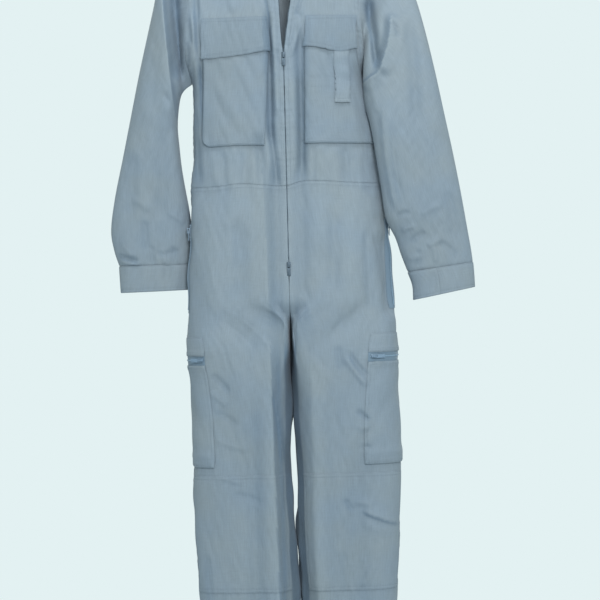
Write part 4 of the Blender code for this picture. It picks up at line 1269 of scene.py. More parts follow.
def along_line(points, out, pitch, start=0.0):
    """Evenly spaced points along a line, with the line's direction and outward direction there."""
    run = run_length(points[None], 1)[0]
    length = run[-1] - start
    if length < pitch:
        return np.zeros((0, 3)), np.zeros((0, 3)), np.zeros((0, 3))
    at = start + pitch / 2 + np.arange(int(length / pitch)) * pitch

    def read_at(values, where):
        return np.stack([np.interp(where, run, values[:, k]) for k in range(3)], axis=1)

    ahead, behind = read_at(points, at + pitch / 3), read_at(points, at - pitch / 3)
    return read_at(points, at), unit(ahead - behind), unit(read_at(out, at))


# The share of a stitch that is a straight bar. The rest are its drawn-out ends.
STITCH_BAR = 0.62
# The share of the distance between two teeth that a tooth takes.
TOOTH_SHARE = 0.52


def stitches(name, lines):
    """Rows of thread along lines on the cloth, as one piece. A stitch is a short bar whose end
    points are drawn out, as where thread dives into the cloth."""
    sizes = bpy.context.scene.suit_sizes
    pitch, long, thick = (v / MM for v in (sizes.stitch_pitch, sizes.stitch_length, sizes.thread))
    bpy.ops.object.select_all(action="DESELECT")
    bpy.ops.mesh.primitive_cylinder_add(
        vertices=5, radius=thick / 2 * MM, depth=long * STITCH_BAR * MM, end_fill_type="TRIFAN"
    )
    piece = bpy.context.object
    for vertex in piece.data.vertices:
        if abs(vertex.co.x) + abs(vertex.co.y) < thick * 0.1 * MM:
            vertex.co.z *= 1 / STITCH_BAR
    piece.data.transform(Matrix.Rotation(math.pi / 2, 4, "Y"))
    pattern = pattern_of(piece)
    spots = []
    for points, out in lines:
        at, along, up = along_line(points, out, pitch)
        spots.append((at + up * 0.1 if len(at) else at, along, up))
    scatter(name, pattern, spots, "thread")


# ---- materials


def linear(code):
    """A colour from its sRGB hex code to the linear values that shaders take."""
    values = [int(code[n : n + 2], 16) / 255 for n in (1, 3, 5)]
    return tuple(v / 12.92 if v <= 0.04045 else ((v + 0.055) / 1.055) ** 2.4 for v in values)


def add(tree, kind, inputs=None, **settings):
    """Adds a node with its settings, and with a value or a link for each named input."""
    made = tree.nodes.new(kind)
    for key, value in settings.items():
        setattr(made, key, value)
    for key, value in (inputs or {}).items():
        if isinstance(value, bpy.types.NodeSocket):
            tree.links.new(value, made.inputs[key])
        else:
            made.inputs[key].default_value = value
    return made


def start_material(name, **constants):
    """A material with a Principled shader, whose constant inputs are set on it directly."""
    made = bpy.data.materials.new(name)
    made.use_nodes = True
    shader = made.node_tree.nodes["Principled BSDF"]
    for key, value in constants.items():
        shader.inputs[key.replace("_", " ")].default_value = value
    return made, made.node_tree, shader


def tones(tree, factor, dark, light, low=0.3, high=0.7):
    """A colour ramp from a dark to a light colour over a range of the factor."""
    ramp = add(tree, "ShaderNodeValToRGB", {"Fac": factor})
    ramp.color_ramp.elements[0].position = low
    ramp.color_ramp.elements[1].position = high
    ramp.color_ramp.elements[0].color = (*dark, 1)
    ramp.color_ramp.elements[1].color = (*light, 1)
    return ramp.outputs["Color"]


def shade(colour, factor):
    return tuple(channel * factor for channel in colour)


def make_cotton_twill():
    """Piece-dyed polyester and cotton twill: matt, with fine diagonal ribs and uneven yarn, and painted
    light and shade over its folds.
    """
    sizes, colours = bpy.context.scene.suit_sizes, bpy.context.scene.suit_colours
    made, tree, shader = start_material(
        "cotton_twill", Roughness=0.88, IOR=1.46, Sheen_Weight=0.05, Sheen_Roughness=0.5
    )
    uv = add(tree, "ShaderNodeUVMap", uv_map="cloth").outputs["UV"]
    # One rib is a thread pair of about 1 mm. The wave texture repeats every 0.628 / scale.
    ribs = add(
        tree,
        "ShaderNodeTexWave",
        {"Vector": uv, "Scale": 0.628 / sizes.twill, "Distortion": 0.6, "Detail": 1.0},
        bands_direction="DIAGONAL",
    ).outputs["Fac"]
    # Slubs in the yarn: 2 mm wide and 30 mm long, down the warp and across the weft.
    slubs = []
    for scale in ((500, 34, 1), (40, 460, 1)):
        place_in = add(tree, "ShaderNodeMapping", {"Vector": uv, "Scale": scale}).outputs[0]
        noise = {"Vector": place_in, "Scale": 1.0, "Detail": 2.0}
        slubs.append(add(tree, "ShaderNodeTexNoise", noise).outputs["Fac"])
    yarn = add(tree, "ShaderNodeMath", {0: slubs[1], 1: 0.5, 2: slubs[0]}, operation="MULTIPLY_ADD")
    half = add(tree, "ShaderNodeMath", {0: yarn.outputs[0], 1: 0.667}, operation="MULTIPLY").outputs[0]
    colour = tones(tree, half, shade(colours.cloth, 0.93), shade(colours.cloth, 1.06), 0.34, 0.66)
    # Dye and wash vary in patches of about 80 mm, a little bluer where it is darker.
    place_in = add(tree, "ShaderNodeTexCoord").outputs["Object"]
    wash = add(tree, "ShaderNodeTexNoise", {"Vector": place_in, "Scale": 12.0, "Detail": 3.0})
    bluer = tones(tree, wash.outputs["Fac"], (0.95, 0.98, 1.005), (1.01, 1.0, 0.965), 0.35, 0.65)
    ribbed = tones(tree, ribs, (0.95, 0.95, 0.95), (1.03, 1.03, 1.03), 0.2, 0.8)
    # Painted light and shade from the folds: lighter on their ridges, and darker and bluer on slopes, in
    # troughs and beside the inseam, as painted shade.
    tone = add(tree, "ShaderNodeAttribute", attribute_name="tone").outputs["Fac"]
    painted_shading = tones(tree, tone, (0.55, 0.645, 0.74), (1.09, 1.08, 1.05), 0.0, 1.0)
    painted_shading.node.color_ramp.elements.new(0.5).color = (1, 1, 1, 1)
    for layer in (bluer, ribbed, painted_shading):
        colour = add(
            tree,
            "ShaderNodeMix",
            {0: 1.0, 6: colour, 7: layer},
            data_type="RGBA",
            blend_type="MULTIPLY",
        ).outputs[2]
    tree.links.new(colour, shader.inputs["Base Color"])
    height = add(tree, "ShaderNodeMath", {0: half, 1: 1.4, 2: ribs}, operation="MULTIPLY_ADD")
    relief_of = {"Height": height.outputs[0], "Strength": 0.35, "Distance": 0.00025}
    tree.links.new(add(tree, "ShaderNodeBump", relief_of).outputs[0], shader.inputs["Normal"])
    return made


def mottled(name, colour, scale, detail, shades, rough=None, **constants):
    """A material whose colour runs from a darker to a lighter shade over a fine noise. rough
    spreads its roughness over a range of the same noise."""
    made, tree, shader = start_material(name, **constants)
    place_in = add(tree, "ShaderNodeTexCoord").outputs["Object"]
    noise = add(tree, "ShaderNodeTexNoise", {"Vector": place_in, "Scale": scale, "Detail": detail})
    varied = tones(tree, noise.outputs["Fac"], *(shade(colour, factor) for factor in shades))
    tree.links.new(varied, shader.inputs["Base Color"])
    if rough:
        limits = {"Value": noise.outputs["Fac"], "To Min": rough[0], "To Max": rough[1]}
        spread_out = add(tree, "ShaderNodeMapRange", limits)
        tree.links.new(spread_out.outputs[0], shader.inputs["Roughness"])
    return made


def make_thread():
    """Spun polyester sewing thread, dyed to the cloth, with a faint uneven tone."""
    colour = bpy.context.scene.suit_colours.thread
    return mottled("thread", colour, 900.0, 1.0, (0.8, 1.15), Roughness=0.7, IOR=1.5)


def make_zip_tape():
    """Knitted polyester zip tape, bluer than the cloth, with ribs of about 1.2 mm."""
    made, tree, shader = start_material("zip_tape", Roughness=0.75, IOR=1.5, Sheen_Weight=0.1)
    tape = bpy.context.scene.suit_colours.tape
    uv = add(tree, "ShaderNodeUVMap", uv_map="cloth").outputs["UV"]
    ribs, rows = (
        add(tree, "ShaderNodeTexWave", {"Vector": uv, "Scale": 0.314 / size}, bands_direction=axis)
        for size, axis in ((0.0012, "X"), (0.0016, "Y"))
    )
    factors = {0: ribs.outputs["Fac"], 1: rows.outputs["Fac"]}
    knit = add(tree, "ShaderNodeMath", factors, operation="MULTIPLY").outputs[0]
    colour = tones(tree, knit, shade(tape, 0.82), shade(tape, 1.12), 0.1, 0.9)
    tree.links.new(colour, shader.inputs["Base Color"])
    bump = add(tree, "ShaderNodeBump", {"Height": knit, "Strength": 0.4, "Distance": 0.0002})
    tree.links.new(bump.outputs[0], shader.inputs["Normal"])
    return made


def make_zip_metal():
    """Nickel-plated brass and die-cast zinc, tumbled: a mottled tone and roughness."""
    colour = bpy.context.scene.suit_colours.metal
    return mottled(
        "zip_metal", colour, 700.0, 3.0, (0.7, 1.1), (0.48, 0.65), Metallic=1.0, Roughness=0.45
    )


def make_nylon_coil():
    """Coil zip teeth of nylon wire, dyed with their tape: smooth, with a soft gloss."""
    colour = bpy.context.scene.suit_colours.tape
    return mottled("nylon_coil", colour, 500.0, 2.0, (1.0, 1.5), Roughness=0.45, IOR=1.53)


def make_lacquered_zinc():
    """Small die-cast sliders and pulls with a blue-grey lacquer: smooth, with a faint mottled tone."""
    colour = bpy.context.scene.suit_colours.lacquer
    return mottled("lacquered_zinc", colour, 600.0, 3.0, (0.8, 1.15), Roughness=0.42, IOR=1.5)


def make_hanger_plastic():
    """Injection-moulded polypropylene: pale, with a fine moulded grain and soft gloss."""
    colour = bpy.context.scene.suit_colours.plastic
    made = mottled(
        "moulded_polypropylene", colour, 18.0, 2.0, (0.94, 1.0), Roughness=0.42, IOR=1.49
    )
    tree = made.node_tree
    place_in = add(tree, "ShaderNodeTexCoord").outputs["Object"]
    grain = add(tree, "ShaderNodeTexNoise", {"Vector": place_in, "Scale": 1400.0, "Detail": 2.0})
    relief_of = {"Height": grain.outputs["Fac"], "Strength": 0.2, "Distance": 0.0001}
    bump = add(tree, "ShaderNodeBump", relief_of)
    tree.links.new(bump.outputs[0], tree.nodes["Principled BSDF"].inputs["Normal"])
    return made


def make_hook_steel():
    """Drawn steel wire, chrome plated, with faint marks round it."""
    colour = bpy.context.scene.suit_colours.steel
    return mottled(
        "chromed_steel_wire", colour, 420.0, 4.0, (0.85, 1.0), (0.15, 0.32),
        Metallic=1.0, Roughness=0.22,
    )


MAKERS = {
    "cotton_twill": make_cotton_twill,
    "thread": make_thread,
    "zip_tape": make_zip_tape,
    "zip_metal": make_zip_metal,
    "nylon_coil": make_nylon_coil,
    "lacquered_zinc": make_lacquered_zinc,
    "hanger_plastic": make_hanger_plastic,
    "hook_steel": make_hook_steel,
}
MADE = {}


def material(name):
    if name not in MADE:
        MADE[name] = MAKERS[name]()
    return MADE[name]


# ---- cloth pieces


def cloth_sizes():
    sizes = bpy.context.scene.suit_sizes
    return sizes.cloth / MM, sizes.patch / MM, sizes.grid / MM


def bodice_grid(surface, edges, step):
    """Turns and rises over a front, or half of the back, from the shoulder down to the waist."""
    turns = edged_values(lambda t: surface.point(t, 0.3), 0, 1, step, edges, "left", "right")
    rises = edged_values(lambda r: surface.point(0.6, r), 1, 0, step, edges, "top", "bottom")
    return np.meshgrid(turns, rises)


def make_front_bodices():
    """Each front has a felled side seam, and is turned back at its edge beside the zip."""
    cloth, _, step = cloth_sizes()
    edges = {
        "left": FELLED,
        "right": (10, (TWIN_STITCH,)),
        "top": (8, (EDGE_STITCH,)),
        "bottom": PLAIN,
    }
    lines = []
    for side, word in SIDES:
        surface = bodice(side, FRONT)
        panel = panel_on(surface, *bodice_grid(surface, edges, step))
        panel.lift(sewn(panel, edges))
        cloth_piece(
            f"front_{word}", panel, cloth, f"front_bodice_{word}"
        )
        lines += [panel.line("left", at) for at in FELLED[1]]
        lines += [panel.line("right", TWIN_STITCH, (4, 0)), panel.line("top", EDGE_STITCH)]
    stitches("front_stitching", lines)


def make_back_bodice():
    """The back is one panel, from one felled side seam to the other."""
    cloth, _, step = cloth_sizes()
    edges = {"left": FELLED, "right": PLAIN, "top": PLAIN, "bottom": PLAIN}
    grid = bodice_grid(bodice(LEFT, BACK), edges, step * 1.15)
    left, right = (panel_on(bodice(side, BACK), *grid) for side in (LEFT, RIGHT))
    panel = Panel(
        *(
            np.concatenate([getattr(left, part), getattr(right, part)[:, -2::-1]], axis=1)
            for part in ("points", "out", "tone")
        )
    )
    edges["right"] = FELLED
    panel.lift(sewn(panel, edges))
    cloth_piece("back", panel, cloth, "back_bodice")
    lines = [panel.line(edge, at) for edge in ("left", "right") for at in FELLED[1]]
    stitches("back_stitching", lines)


def smooth_between(points, count):
    """Points along a smooth curve through rows of control points."""
    numbers = [{"number": n} for n in range(len(points))]
    at = np.linspace(0, len(points) - 1, count)
    flat = points.reshape(len(points), -1)
    columns = []
    for k in range(flat.shape[1]):
        rows = [dict(row, value=flat[n, k]) for n, row in enumerate(numbers)]
        columns.append(read(rows, "number", "value", at))
    return np.stack(columns, axis=1).reshape(count, *points.shape[1:])


def collar_line(side, face, turn):
    """The collar's profile at a station: up from the neckline, over, and down to the fall's edge."""
    rows = FRONT_COLLAR if face == FRONT else BACK_COLLAR
    stand, fall_turn, fall_rise = (
        float(read(rows, "turn", key, turn)) for key in ("stand", "fall_turn", "fall_rise")
    )
    up = np.array([0.0, 0.0, 1.0])
    if face is None:
        seam = (bodice_point(side, FRONT, turn, 1.0) + bodice_point(side, BACK, turn, 1.0)) / 2
        edge = bodice_point(side, FRONT, fall_turn, 1.0) + up * FALL_LIFT / 2
    else:
        surface = bodice(side, face)
        seam = surface.point(turn, 1.0)
        edge = surface.point(fall_turn, fall_rise) + surface.out(fall_turn, fall_rise) * FALL_LIFT
    away = unit((edge - seam) * (1, 1, 0))
    crest = seam + up * stand + away * 4
    middle = (crest + edge) / 2 + away * 3.5 + up * 3
    return np.array(
        [
            seam,
            seam + up * stand * 0.55 + away * 0.5,
            crest - away * 3 - up * 3,
            crest,
            crest + away * 3.5 - up * 3.5,
            middle,
            edge,
        ]
    )


def make_collar():
    """A turn-down collar of two layers: a stand up from the neckline, and a fall over it."""
    _, _, step = cloth_sizes()
    halves = []
    for side, turns in COLLAR_TURNS.items():
        front = [(side, FRONT, turn) for turn in reversed(turns)]
        halves.append(front + [(side, None, turns[0])] + [(side, BACK, turn) for turn in turns])
    stations = halves[0] + halves[1][-2::-1]
    control = np.array([collar_line(*station) for station in stations])
    fine = smooth_between(control, COLLAR_COLUMNS)
    fine = smooth_between(fine.transpose(1, 0, 2), round(COLLAR_RUN / step))
    out = -unit(np.cross(np.gradient(fine, axis=1), np.gradient(fine, axis=0)))
    panel = Panel(fine, out, np.full(fine.shape[:2], NEUTRAL_PAINTED_LIGHT))
    wave = 0.45 * ripple(fine[..., 0], fine[..., 2], 5, 40, 70)
    panel.lift(wave * ease(panel.inward("top") / 12))
    panel.lift(sewn(panel, {"left": DEEP, "right": DEEP, "bottom": DEEP}))
    cloth_piece(
        "collar_shown", panel, COLLAR_CLOTH, "collar"
    )
    lines = [panel.line("bottom", DEEP_STITCH, (DEEP_STITCH, DEEP_STITCH))]
    lines += [panel.line(edge, DEEP_STITCH) for edge in ("left", "right")]
    stitches("collar_stitching", lines)


def tuck_in(panel, length, depth):
    """Carries a tube's lower end on, a little narrower, into the piece that it is sewn to."""
    onward = unit(panel.points[-1:] - panel.points[-2:-1])
    bend = panel.points[-1:] + onward * 0.8 - panel.out[-1:] * depth * 0.6
    end = panel.points[-1:] + onward * length - panel.out[-1:] * depth
    panel.points = np.concatenate([panel.points, bend, end])
    panel.out = np.concatenate([panel.out, panel.out[-1:], panel.out[-1:]])
    panel.tone = np.concatenate([panel.tone, panel.tone[-1:], panel.tone[-1:]])


def make_sleeves():
    """Each sleeve is one piece, with a felled seam under the arm and its end inside the cuff."""
    cloth, _, step = cloth_sizes()
    edges = {"top": PLAIN, "bottom": EDGED}
    lines = []
    for side, word in SIDES:
        surface = sleeve(side)
        around = even_values(
            lambda a: surface.point(a, 6.0), 0, 0.99999, step, SEAM_LINES, SEAM_LINES
        )[:-1]
        steps = edged_values(
            lambda s: surface.point(0.3, s), 0, 11, step * 1.15, edges, "top", "bottom"
        )
        panel = panel_on(surface, *np.meshgrid(around, steps), closed=True)
        across = panel.inward("left")
        closing = np.linalg.norm(panel.points[:, 0] - panel.points[:, -1], axis=-1)[:, None]
        seam = np.minimum(across, across[:, -1:] + closing - across)
        felled = -0.6 * bell(seam, EDGE_ROLL) + 0.35 * ease((9 - across) / 2)
        panel.lift(sewn(panel, edges) + felled * ease(panel.inward("top") / 20))
        lines += [panel.line("left", at, (20, 2)) for at in (2, 7)]
        lines.append(panel.line("bottom", EDGE_STITCH))
        tuck_in(panel, 7, 1.7)
        cloth_piece(
            f"sleeve_{word}_shown", panel, cloth, f"sleeve_{word}"
        )
    stitches("sleeve_stitching", lines)


def make_cuffs():
    """Each cuff is a band of two layers, wound once round the wrist and a little over its own end."""
    _, _, step = cloth_sizes()
    edges = {"left": DEEP, "right": DEEP, "top": EDGED, "bottom": DEEP}
    ends = [at + shift for at in (0.8, 2, 6) for shift in (-0.5, 0.5)]
    lines = []
    for side, word in SIDES:
        surface = cuff(side)
        start = CUFF_LAP_START[side]
        turns = even_values(
            lambda a: surface.point(a, 0.5), start, start + 1 + CUFF_LAP, step, ends, ends
        )
        shares = even_values(
            lambda s: surface.point(0.3, s), 0, 1, step, (0.8, 1.8, 3), (0.8, 2, 5, 6, 7)
        )
        panel = panel_on(surface, *np.meshgrid(turns, shares))
        wound = (turns - start) / (1 + CUFF_LAP)
        over = 0.4 + (SOLID_CLOTH + 0.6) * ease((wound * 24 - 18) / 4)
        panel.lift(over[None, :] + sewn(panel, edges))
        cloth_piece(
            f"cuff_{word}_shown", panel, CUFF_CLOTH, f"cuff_{word}"
        )
        lines.append(panel.line("top", EDGE_STITCH, (3, 3)))
        lines.append(panel.line("bottom", DEEP_STITCH, (DEEP_STITCH, DEEP_STITCH)))
        lines += [panel.line(edge, DEEP_STITCH, (2, DEEP_STITCH)) for edge in ("right", "left")]
    stitches("cuff_stitching", lines)


def make_trousers():
    """Each panel runs from a felled waist seam to the hem. The side seams are felled on the back."""
    cloth, _, step = cloth_sizes()
    for face, word in ((FRONT, "front"), (BACK, "back")):
        side_seam = FELLED if face == BACK else PLAIN
        edges = {"left": side_seam, "right": PLAIN, "top": WAISTED, "bottom": HEMMED}
        lines = []
        for side, hand in SIDES:
            surface = lower(side, face)
            turns = edged_values(
                lambda t: surface.point(t, -1000.0), 0, 1, step * 1.15, edges, "left", "right"
            )
            heights = edged_values(
                lambda z: surface.point(0.5, z), WAIST_Z, HEM_Z, step * 1.5, edges, "top", "bottom"
            )
            panel = panel_on(surface, *np.meshgrid(turns, heights))
            panel.lift(sewn(panel, edges))
            name = f"trouser_{word}_{hand}"
            cloth_piece(f"{name}_shown", panel, cloth, name)
            for edge in ("top", "bottom", "left"):
                lines += [panel.line(edge, at) for at in edges[edge][1]]
        stitches(f"trouser_{word}_stitching", lines)


# ---- patches


def patch_grid(surface, columns, rows, step, sides, ends, middle=0.5):
    """Column and row values of a patch: even along the cloth, with extra lines near its edges."""
    mid_column = columns[0] + (columns[1] - columns[0]) * middle
    mid_row = (rows[0] + rows[1]) / 2
    across = even_values(lambda c: surface.point(c, mid_row), *columns, step, sides, sides)
    down = even_values(lambda r: surface.point(mid_column, r), *rows, step, ends, ends)
    return np.meshgrid(across, down)


def turns_between(surface, rises, outer, inner, shares):
    """A grid of turns: each row runs from one distance off the centre to another."""
    tried = np.linspace(0.02, 1, 400)
    made = []
    for rise, first, last in zip(rises, outer, inner):
        x = np.abs(surface.point(tried, rise)[:, 0])
        ends = np.interp((-first, -last), -x, tried)
        made.append(ends[0] + (ends[1] - ends[0]) * shares)
    return np.array(made)


def pocket_grid(side, rises, step, sides, ends):
    """Turns and rises of a grid between a chest pocket's side lines."""
    surface = bodice(side, FRONT)
    down = even_values(lambda r: surface.point(0.6, r), *rises, step, ends, ends)
    height = surface.point(0.6, down)[:, 2]
    outer = read(CHEST_SIDES[side], "z", "outer", height)
    inner = read(CHEST_SIDES[side], "z", "inner", height)
    width = float(outer[0] - inner[0])
    shares = spaced(width, step, sides, sides) / width
    turns = turns_between(surface, down, outer, inner, shares)
    return turns, np.repeat(down[:, None], len(shares), axis=1)


def rounded_corners(panel, surface, columns, rows, radius, corners):
    """Moves grid values inwards near the named bottom corners, so that the outline is rounded."""
    column, row = columns.copy(), rows.copy()
    up = np.clip(1 - panel.inward("bottom") / radius, 0, 1)
    for edge in corners:
        beside = np.clip(1 - panel.inward(edge) / radius, 0, 1)
        inner = column[:, len(column[0]) // 2][:, None]
        width = np.abs(inner - (column[:, :1] if edge == "left" else column[:, -1:]))
        reach = panel.inward(edge)[:, len(column[0]) // 2][:, None]
        towards = np.sign(inner - column) * radius * width / reach
        column = column + 0.42 * towards * up**2 * beside
        height = np.abs(rows[-1:] - rows[:1])
        length = panel.inward("top")[-1:]
        row = row + 0.42 * np.sign(rows[:1] - rows[-1:]) * radius * height / length * beside**2 * up
    return panel_on(surface, column, row)


def puffed(inward, height, turn_in=4.5):
    """A height that falls to nothing over a rounded return at the edges."""
    return height * np.sqrt(1 - (1 - np.clip(inward / turn_in, 0, 1)) ** 2)


def pocket_belly(side, x, z):
    """How far a chest pocket stands off in its middle."""
    return 1.2 + 0.7 * ripple(x + 0.35 * z, z, 51 + side, 40, 210)


def mouth_of(rises):
    """1 at a chest pocket's mouth, which lies flat under the flap, and 0 below."""
    return ease((rises - 0.56) / 0.1)


def over_tape(panel, edge):
    """How far a band or a pocket stands up at the edge that covers a zip's tape."""
    return 1.2 * ease(1 - (panel.inward(edge) - 6) / 6)


def make_chest_pockets():
    """Each pocket stands off its front all round but at the mouth. The wearer's right one has a
    rounded outer corner, and the left one the stitched lines of its pen slot."""
    _, cloth, step = cloth_sizes()
    sewn_edges = ("left", "right", "bottom")
    lines = []
    for side, word in SIDES:
        surface = bodice(side, FRONT)
        columns, rows = pocket_grid(side, CHEST_POCKET_RISES, step, RETURN_LINES, RETURN_LINES)
        panel = panel_on(surface, columns, rows)
        corners = ("left",) if side == RIGHT else ()
        panel = rounded_corners(panel, surface, columns, rows, CHEST_CORNER, corners)
        mouth = mouth_of(rows)
        inward = panel.nearest(sewn_edges)
        raised = puffed(inward, POCKET_RAISE - MOUTH_DROP * mouth)
        x, z = panel.points[..., 0], panel.points[..., 2]
        raised += ease(inward / 40) * (1 - mouth) * pocket_belly(side, x, z)
        if side == RIGHT:
            raised += 1.6 * ease(1 - panel.inward("left") / 14) * ease(panel.inward("left") / 3)
        # The pocket is painted darker and bluer than its front, on the scale of painted light and shade.
        panel.tone = panel.tone - POCKET_DARKER
        panel.lift(PATCH_GAP + cloth + raised + groove(inward, DEEP_STITCH, 0.35))
        name = f"chest_pocket_{word}"
        cloth_piece(f"{name}_shown", panel, cloth * PATCH_WALL, name)
        lines += [panel.line(edge, DEEP_STITCH, (10, DEEP_STITCH)) for edge in ("left", "right")]
        lines.append(panel.line("bottom", DEEP_STITCH, (DEEP_STITCH, DEEP_STITCH)))
        if side == LEFT:
            for rise in PEN_LINE_RISES:
                row = int(np.argmin(np.abs(rows[:, 0] - rise)))
                last = int(np.argmax(panel.points[row, :, 0] < PEN_STRAP_SIDES[1]))
                lines.append((panel.points[row, last:-4], panel.out[row, last:-4]))
    stitches("chest_pocket_stitching", lines)


def make_flaps():
    """Each flap is sewn along its top and lies over the mouth of its pocket."""
    _, cloth, step = cloth_sizes()
    top_rows = (EDGE_STITCH, FELL_STITCH)
    edges = {"left": TWIN, "right": TWIN, "top": (0, top_rows), "bottom": TWIN}
    extra = near_lines(edges, "left")
    lines = []
    for side, word in SIDES:
        columns, rows = pocket_grid(side, (FLAP_TOP_RISE, FLAP_LOW_RISE), step, extra, extra)
        share = (rows - FLAP_TOP_RISE) / (FLAP_LOW_RISE - FLAP_TOP_RISE)
        low = read(FLAP_EDGE[side], "turn", "rise", columns)
        rows = FLAP_TOP_RISE + (low - FLAP_TOP_RISE) * share
        panel = panel_on(bodice(side, FRONT), columns, rows)
        stand = read(FLAP_STAND, "share", "height", share)
        x, z = panel.points[..., 0], panel.points[..., 2]
        curl = 0.6 * ripple(x, z, 61 + side, 60, 200) * share
        # A flap is painted darker and bluer than the rest, on the scale of painted light and shade.
        panel.tone = panel.tone - FLAP_DARKER
        panel.lift(PATCH_GAP + cloth + stand + curl + sewn(panel, edges))
        cloth_piece(f"flap_{word}_shown", panel, cloth, f"flap_{word}")
        lines += [panel.line("top", at, (2, 2)) for at in top_rows]
        lines += panel.lines(("left", "right", "bottom"), TWIN[1])
    stitches("flap_stitching", lines)


def make_pen_strap():
    """A strap that hangs from under the wearer's left flap, sewn round its edge."""
    _, cloth, step = cloth_sizes()
    low_rows = (STRAP_STITCH, FELL_STITCH)
    edges = {"left": (0, low_rows[:1]), "right": (0, low_rows[:1]), "bottom": (0, low_rows)}
    surface = bodice(LEFT, FRONT)
    beside, below = near_lines(edges, "left"), near_lines(edges, "bottom")
    rises = even_values(
        lambda r: surface.point(0.55, r), *PEN_STRAP_RISES, step * 0.8, below, below
    )
    width = PEN_STRAP_SIDES[0] - PEN_STRAP_SIDES[1]
    shares = spaced(width, step * 0.8, beside, beside) / width
    outer, inner = (np.full(len(rises), x) for x in PEN_STRAP_SIDES)
    columns = turns_between(surface, rises, outer, inner, shares)
    rows = np.repeat(rises[:, None], len(shares), axis=1)
    panel = panel_on(surface, columns, rows)
    mouth = mouth_of(rows)
    x, z = panel.points[..., 0], panel.points[..., 2]
    pocket = POCKET_RAISE - MOUTH_DROP * mouth + (1 - mouth) * pocket_belly(LEFT, x, z)
    down = panel.inward("top")
    stand = 1.6 * ease(down / 90) + 0.4 * ripple(down, 0, 8, 50, 1)
    panel.lift(
        pocket + 2 * (PATCH_GAP + cloth) + 1.2 * ease(down / 30) + stand + sewn(panel, edges)
    )
    cloth_piece("pen_strap_shown", panel, cloth, "pen_strap")
    lines = [panel.line(edge, STRAP_STITCH, (0, 2)) for edge in ("left", "right")]
    lines += [panel.line("bottom", at, (2, 2)) for at in low_rows]
    stitches("pen_strap_stitching", lines)


def make_thigh_pockets():
    """A band and a patch pocket, one under the other round each side seam, with the zip between them
    made with the small zips.
    """
    _, cloth, step = cloth_sizes()
    edges = {"left": EDGED, "right": EDGED, "top": EDGED, "bottom": TWIN}
    beside, below = near_lines(edges, "left"), near_lines(edges, "bottom")
    lines = []
    for side, word in SIDES:
        surface = thigh(side)
        turns = (-THIGH_TURNS[side], THIGH_TURNS[side])
        panel = panel_on(
            surface, *patch_grid(surface, turns, THIGH_BAND_Z, step, beside, below, 0.2)
        )
        panel.lift(PATCH_GAP + cloth + 0.4 + over_tape(panel, "bottom") + sewn(panel, edges))
        name = f"thigh_band_{word}"
        cloth_piece(f"{name}_shown", panel, cloth * PATCH_WALL, name)
        lines += panel.lines(ALL_EDGES, EDGED[1])
        lines.append(panel.line("bottom", TWIN_STITCH, (EDGE_STITCH, EDGE_STITCH)))

        panel = panel_on(
            surface,
            *patch_grid(surface, turns, THIGH_POCKET_Z, step, RETURN_LINES, RETURN_LINES, 0.2),
        )
        inward = panel.nearest(ALL_EDGES)
        up = panel.inward("bottom")
        low = bell(up, 70)
        height = THIGH_POCKET_TOP_RAISE + (POCKET_RAISE - THIGH_POCKET_TOP_RAISE) * low
        x, z = panel.points[..., 0], panel.points[..., 2]
        sag = ease(inward / 40) * (0.8 + 0.6 * ripple(x, z, 81 + side, 60, 110))
        bellows = 1.5 * bell(up - 22, 9) * ease(inward / 12)
        raised = puffed(inward, height, THIGH_POCKET_RETURN) + sag + bellows
        raised = raised + groove(inward, DEEP_STITCH, 0.35) + over_tape(panel, "top")
        panel.lift(PATCH_GAP + cloth + raised)
        name = f"thigh_pocket_{word}"
        cloth_piece(f"{name}_shown", panel, cloth * PATCH_WALL, name)
        lines += panel.lines(ALL_EDGES, DEEP[1])
    stitches("thigh_pocket_stitching", lines)


def make_knee_patches():
    """A patch over each knee, with two rows of stitches all round."""
    _, cloth, step = cloth_sizes()
    edges = {edge: TWIN for edge in ALL_EDGES}
    extra = near_lines(edges, "left")
    lines = []
    for side, word in SIDES:
        surface = lower(side, FRONT)
        panel = panel_on(
            surface, *patch_grid(surface, KNEE_TURNS, KNEE_Z, step * 1.2, extra, extra)
        )
        panel.lift(PATCH_GAP + cloth + sewn(panel, edges))
        name = f"knee_patch_{word}"
        cloth_piece(f"{name}_shown", panel, cloth * PATCH_WALL, name)
        lines += panel.lines(("top", "bottom", "left", "right"), TWIN[1])
    stitches("knee_stitching", lines)


# ---- zips


def model_tooth(width, height, depth):
    """One zip tooth: a block across the chain with a rounded nose, X along and Z out."""
    bpy.ops.object.select_all(action="DESELECT")
    bpy.ops.mesh.primitive_cube_add(size=1)
    tooth = bpy.context.object
    tooth.data.transform(Matrix.Diagonal((height * MM, width * MM, depth * MM, 1)))
    bpy.ops.object.mode_set(mode="EDIT")
    pick(tooth, lambda centre, normal: normal.y > 0.9)
    bpy.ops.mesh.extrude_region_move(TRANSFORM_OT_translate={"value": (0, 0.25 * width * MM, 0)})
    bpy.ops.transform.resize(value=(0.5, 1, 0.6))
    bpy.ops.object.mode_set(mode="OBJECT")
    return pattern_of(tooth)


def pick(piece, test):
    """Selects the faces of the mesh being edited whose centre and normal pass a test."""
    mesh = bmesh.from_edit_mesh(piece.data)
    for element in [*mesh.verts, *mesh.edges, *mesh.faces]:
        element.select = False
    for face in mesh.faces:
        if test(face.calc_center_median(), face.normal):
            face.select_set(True)
    bmesh.update_edit_mesh(piece.data)


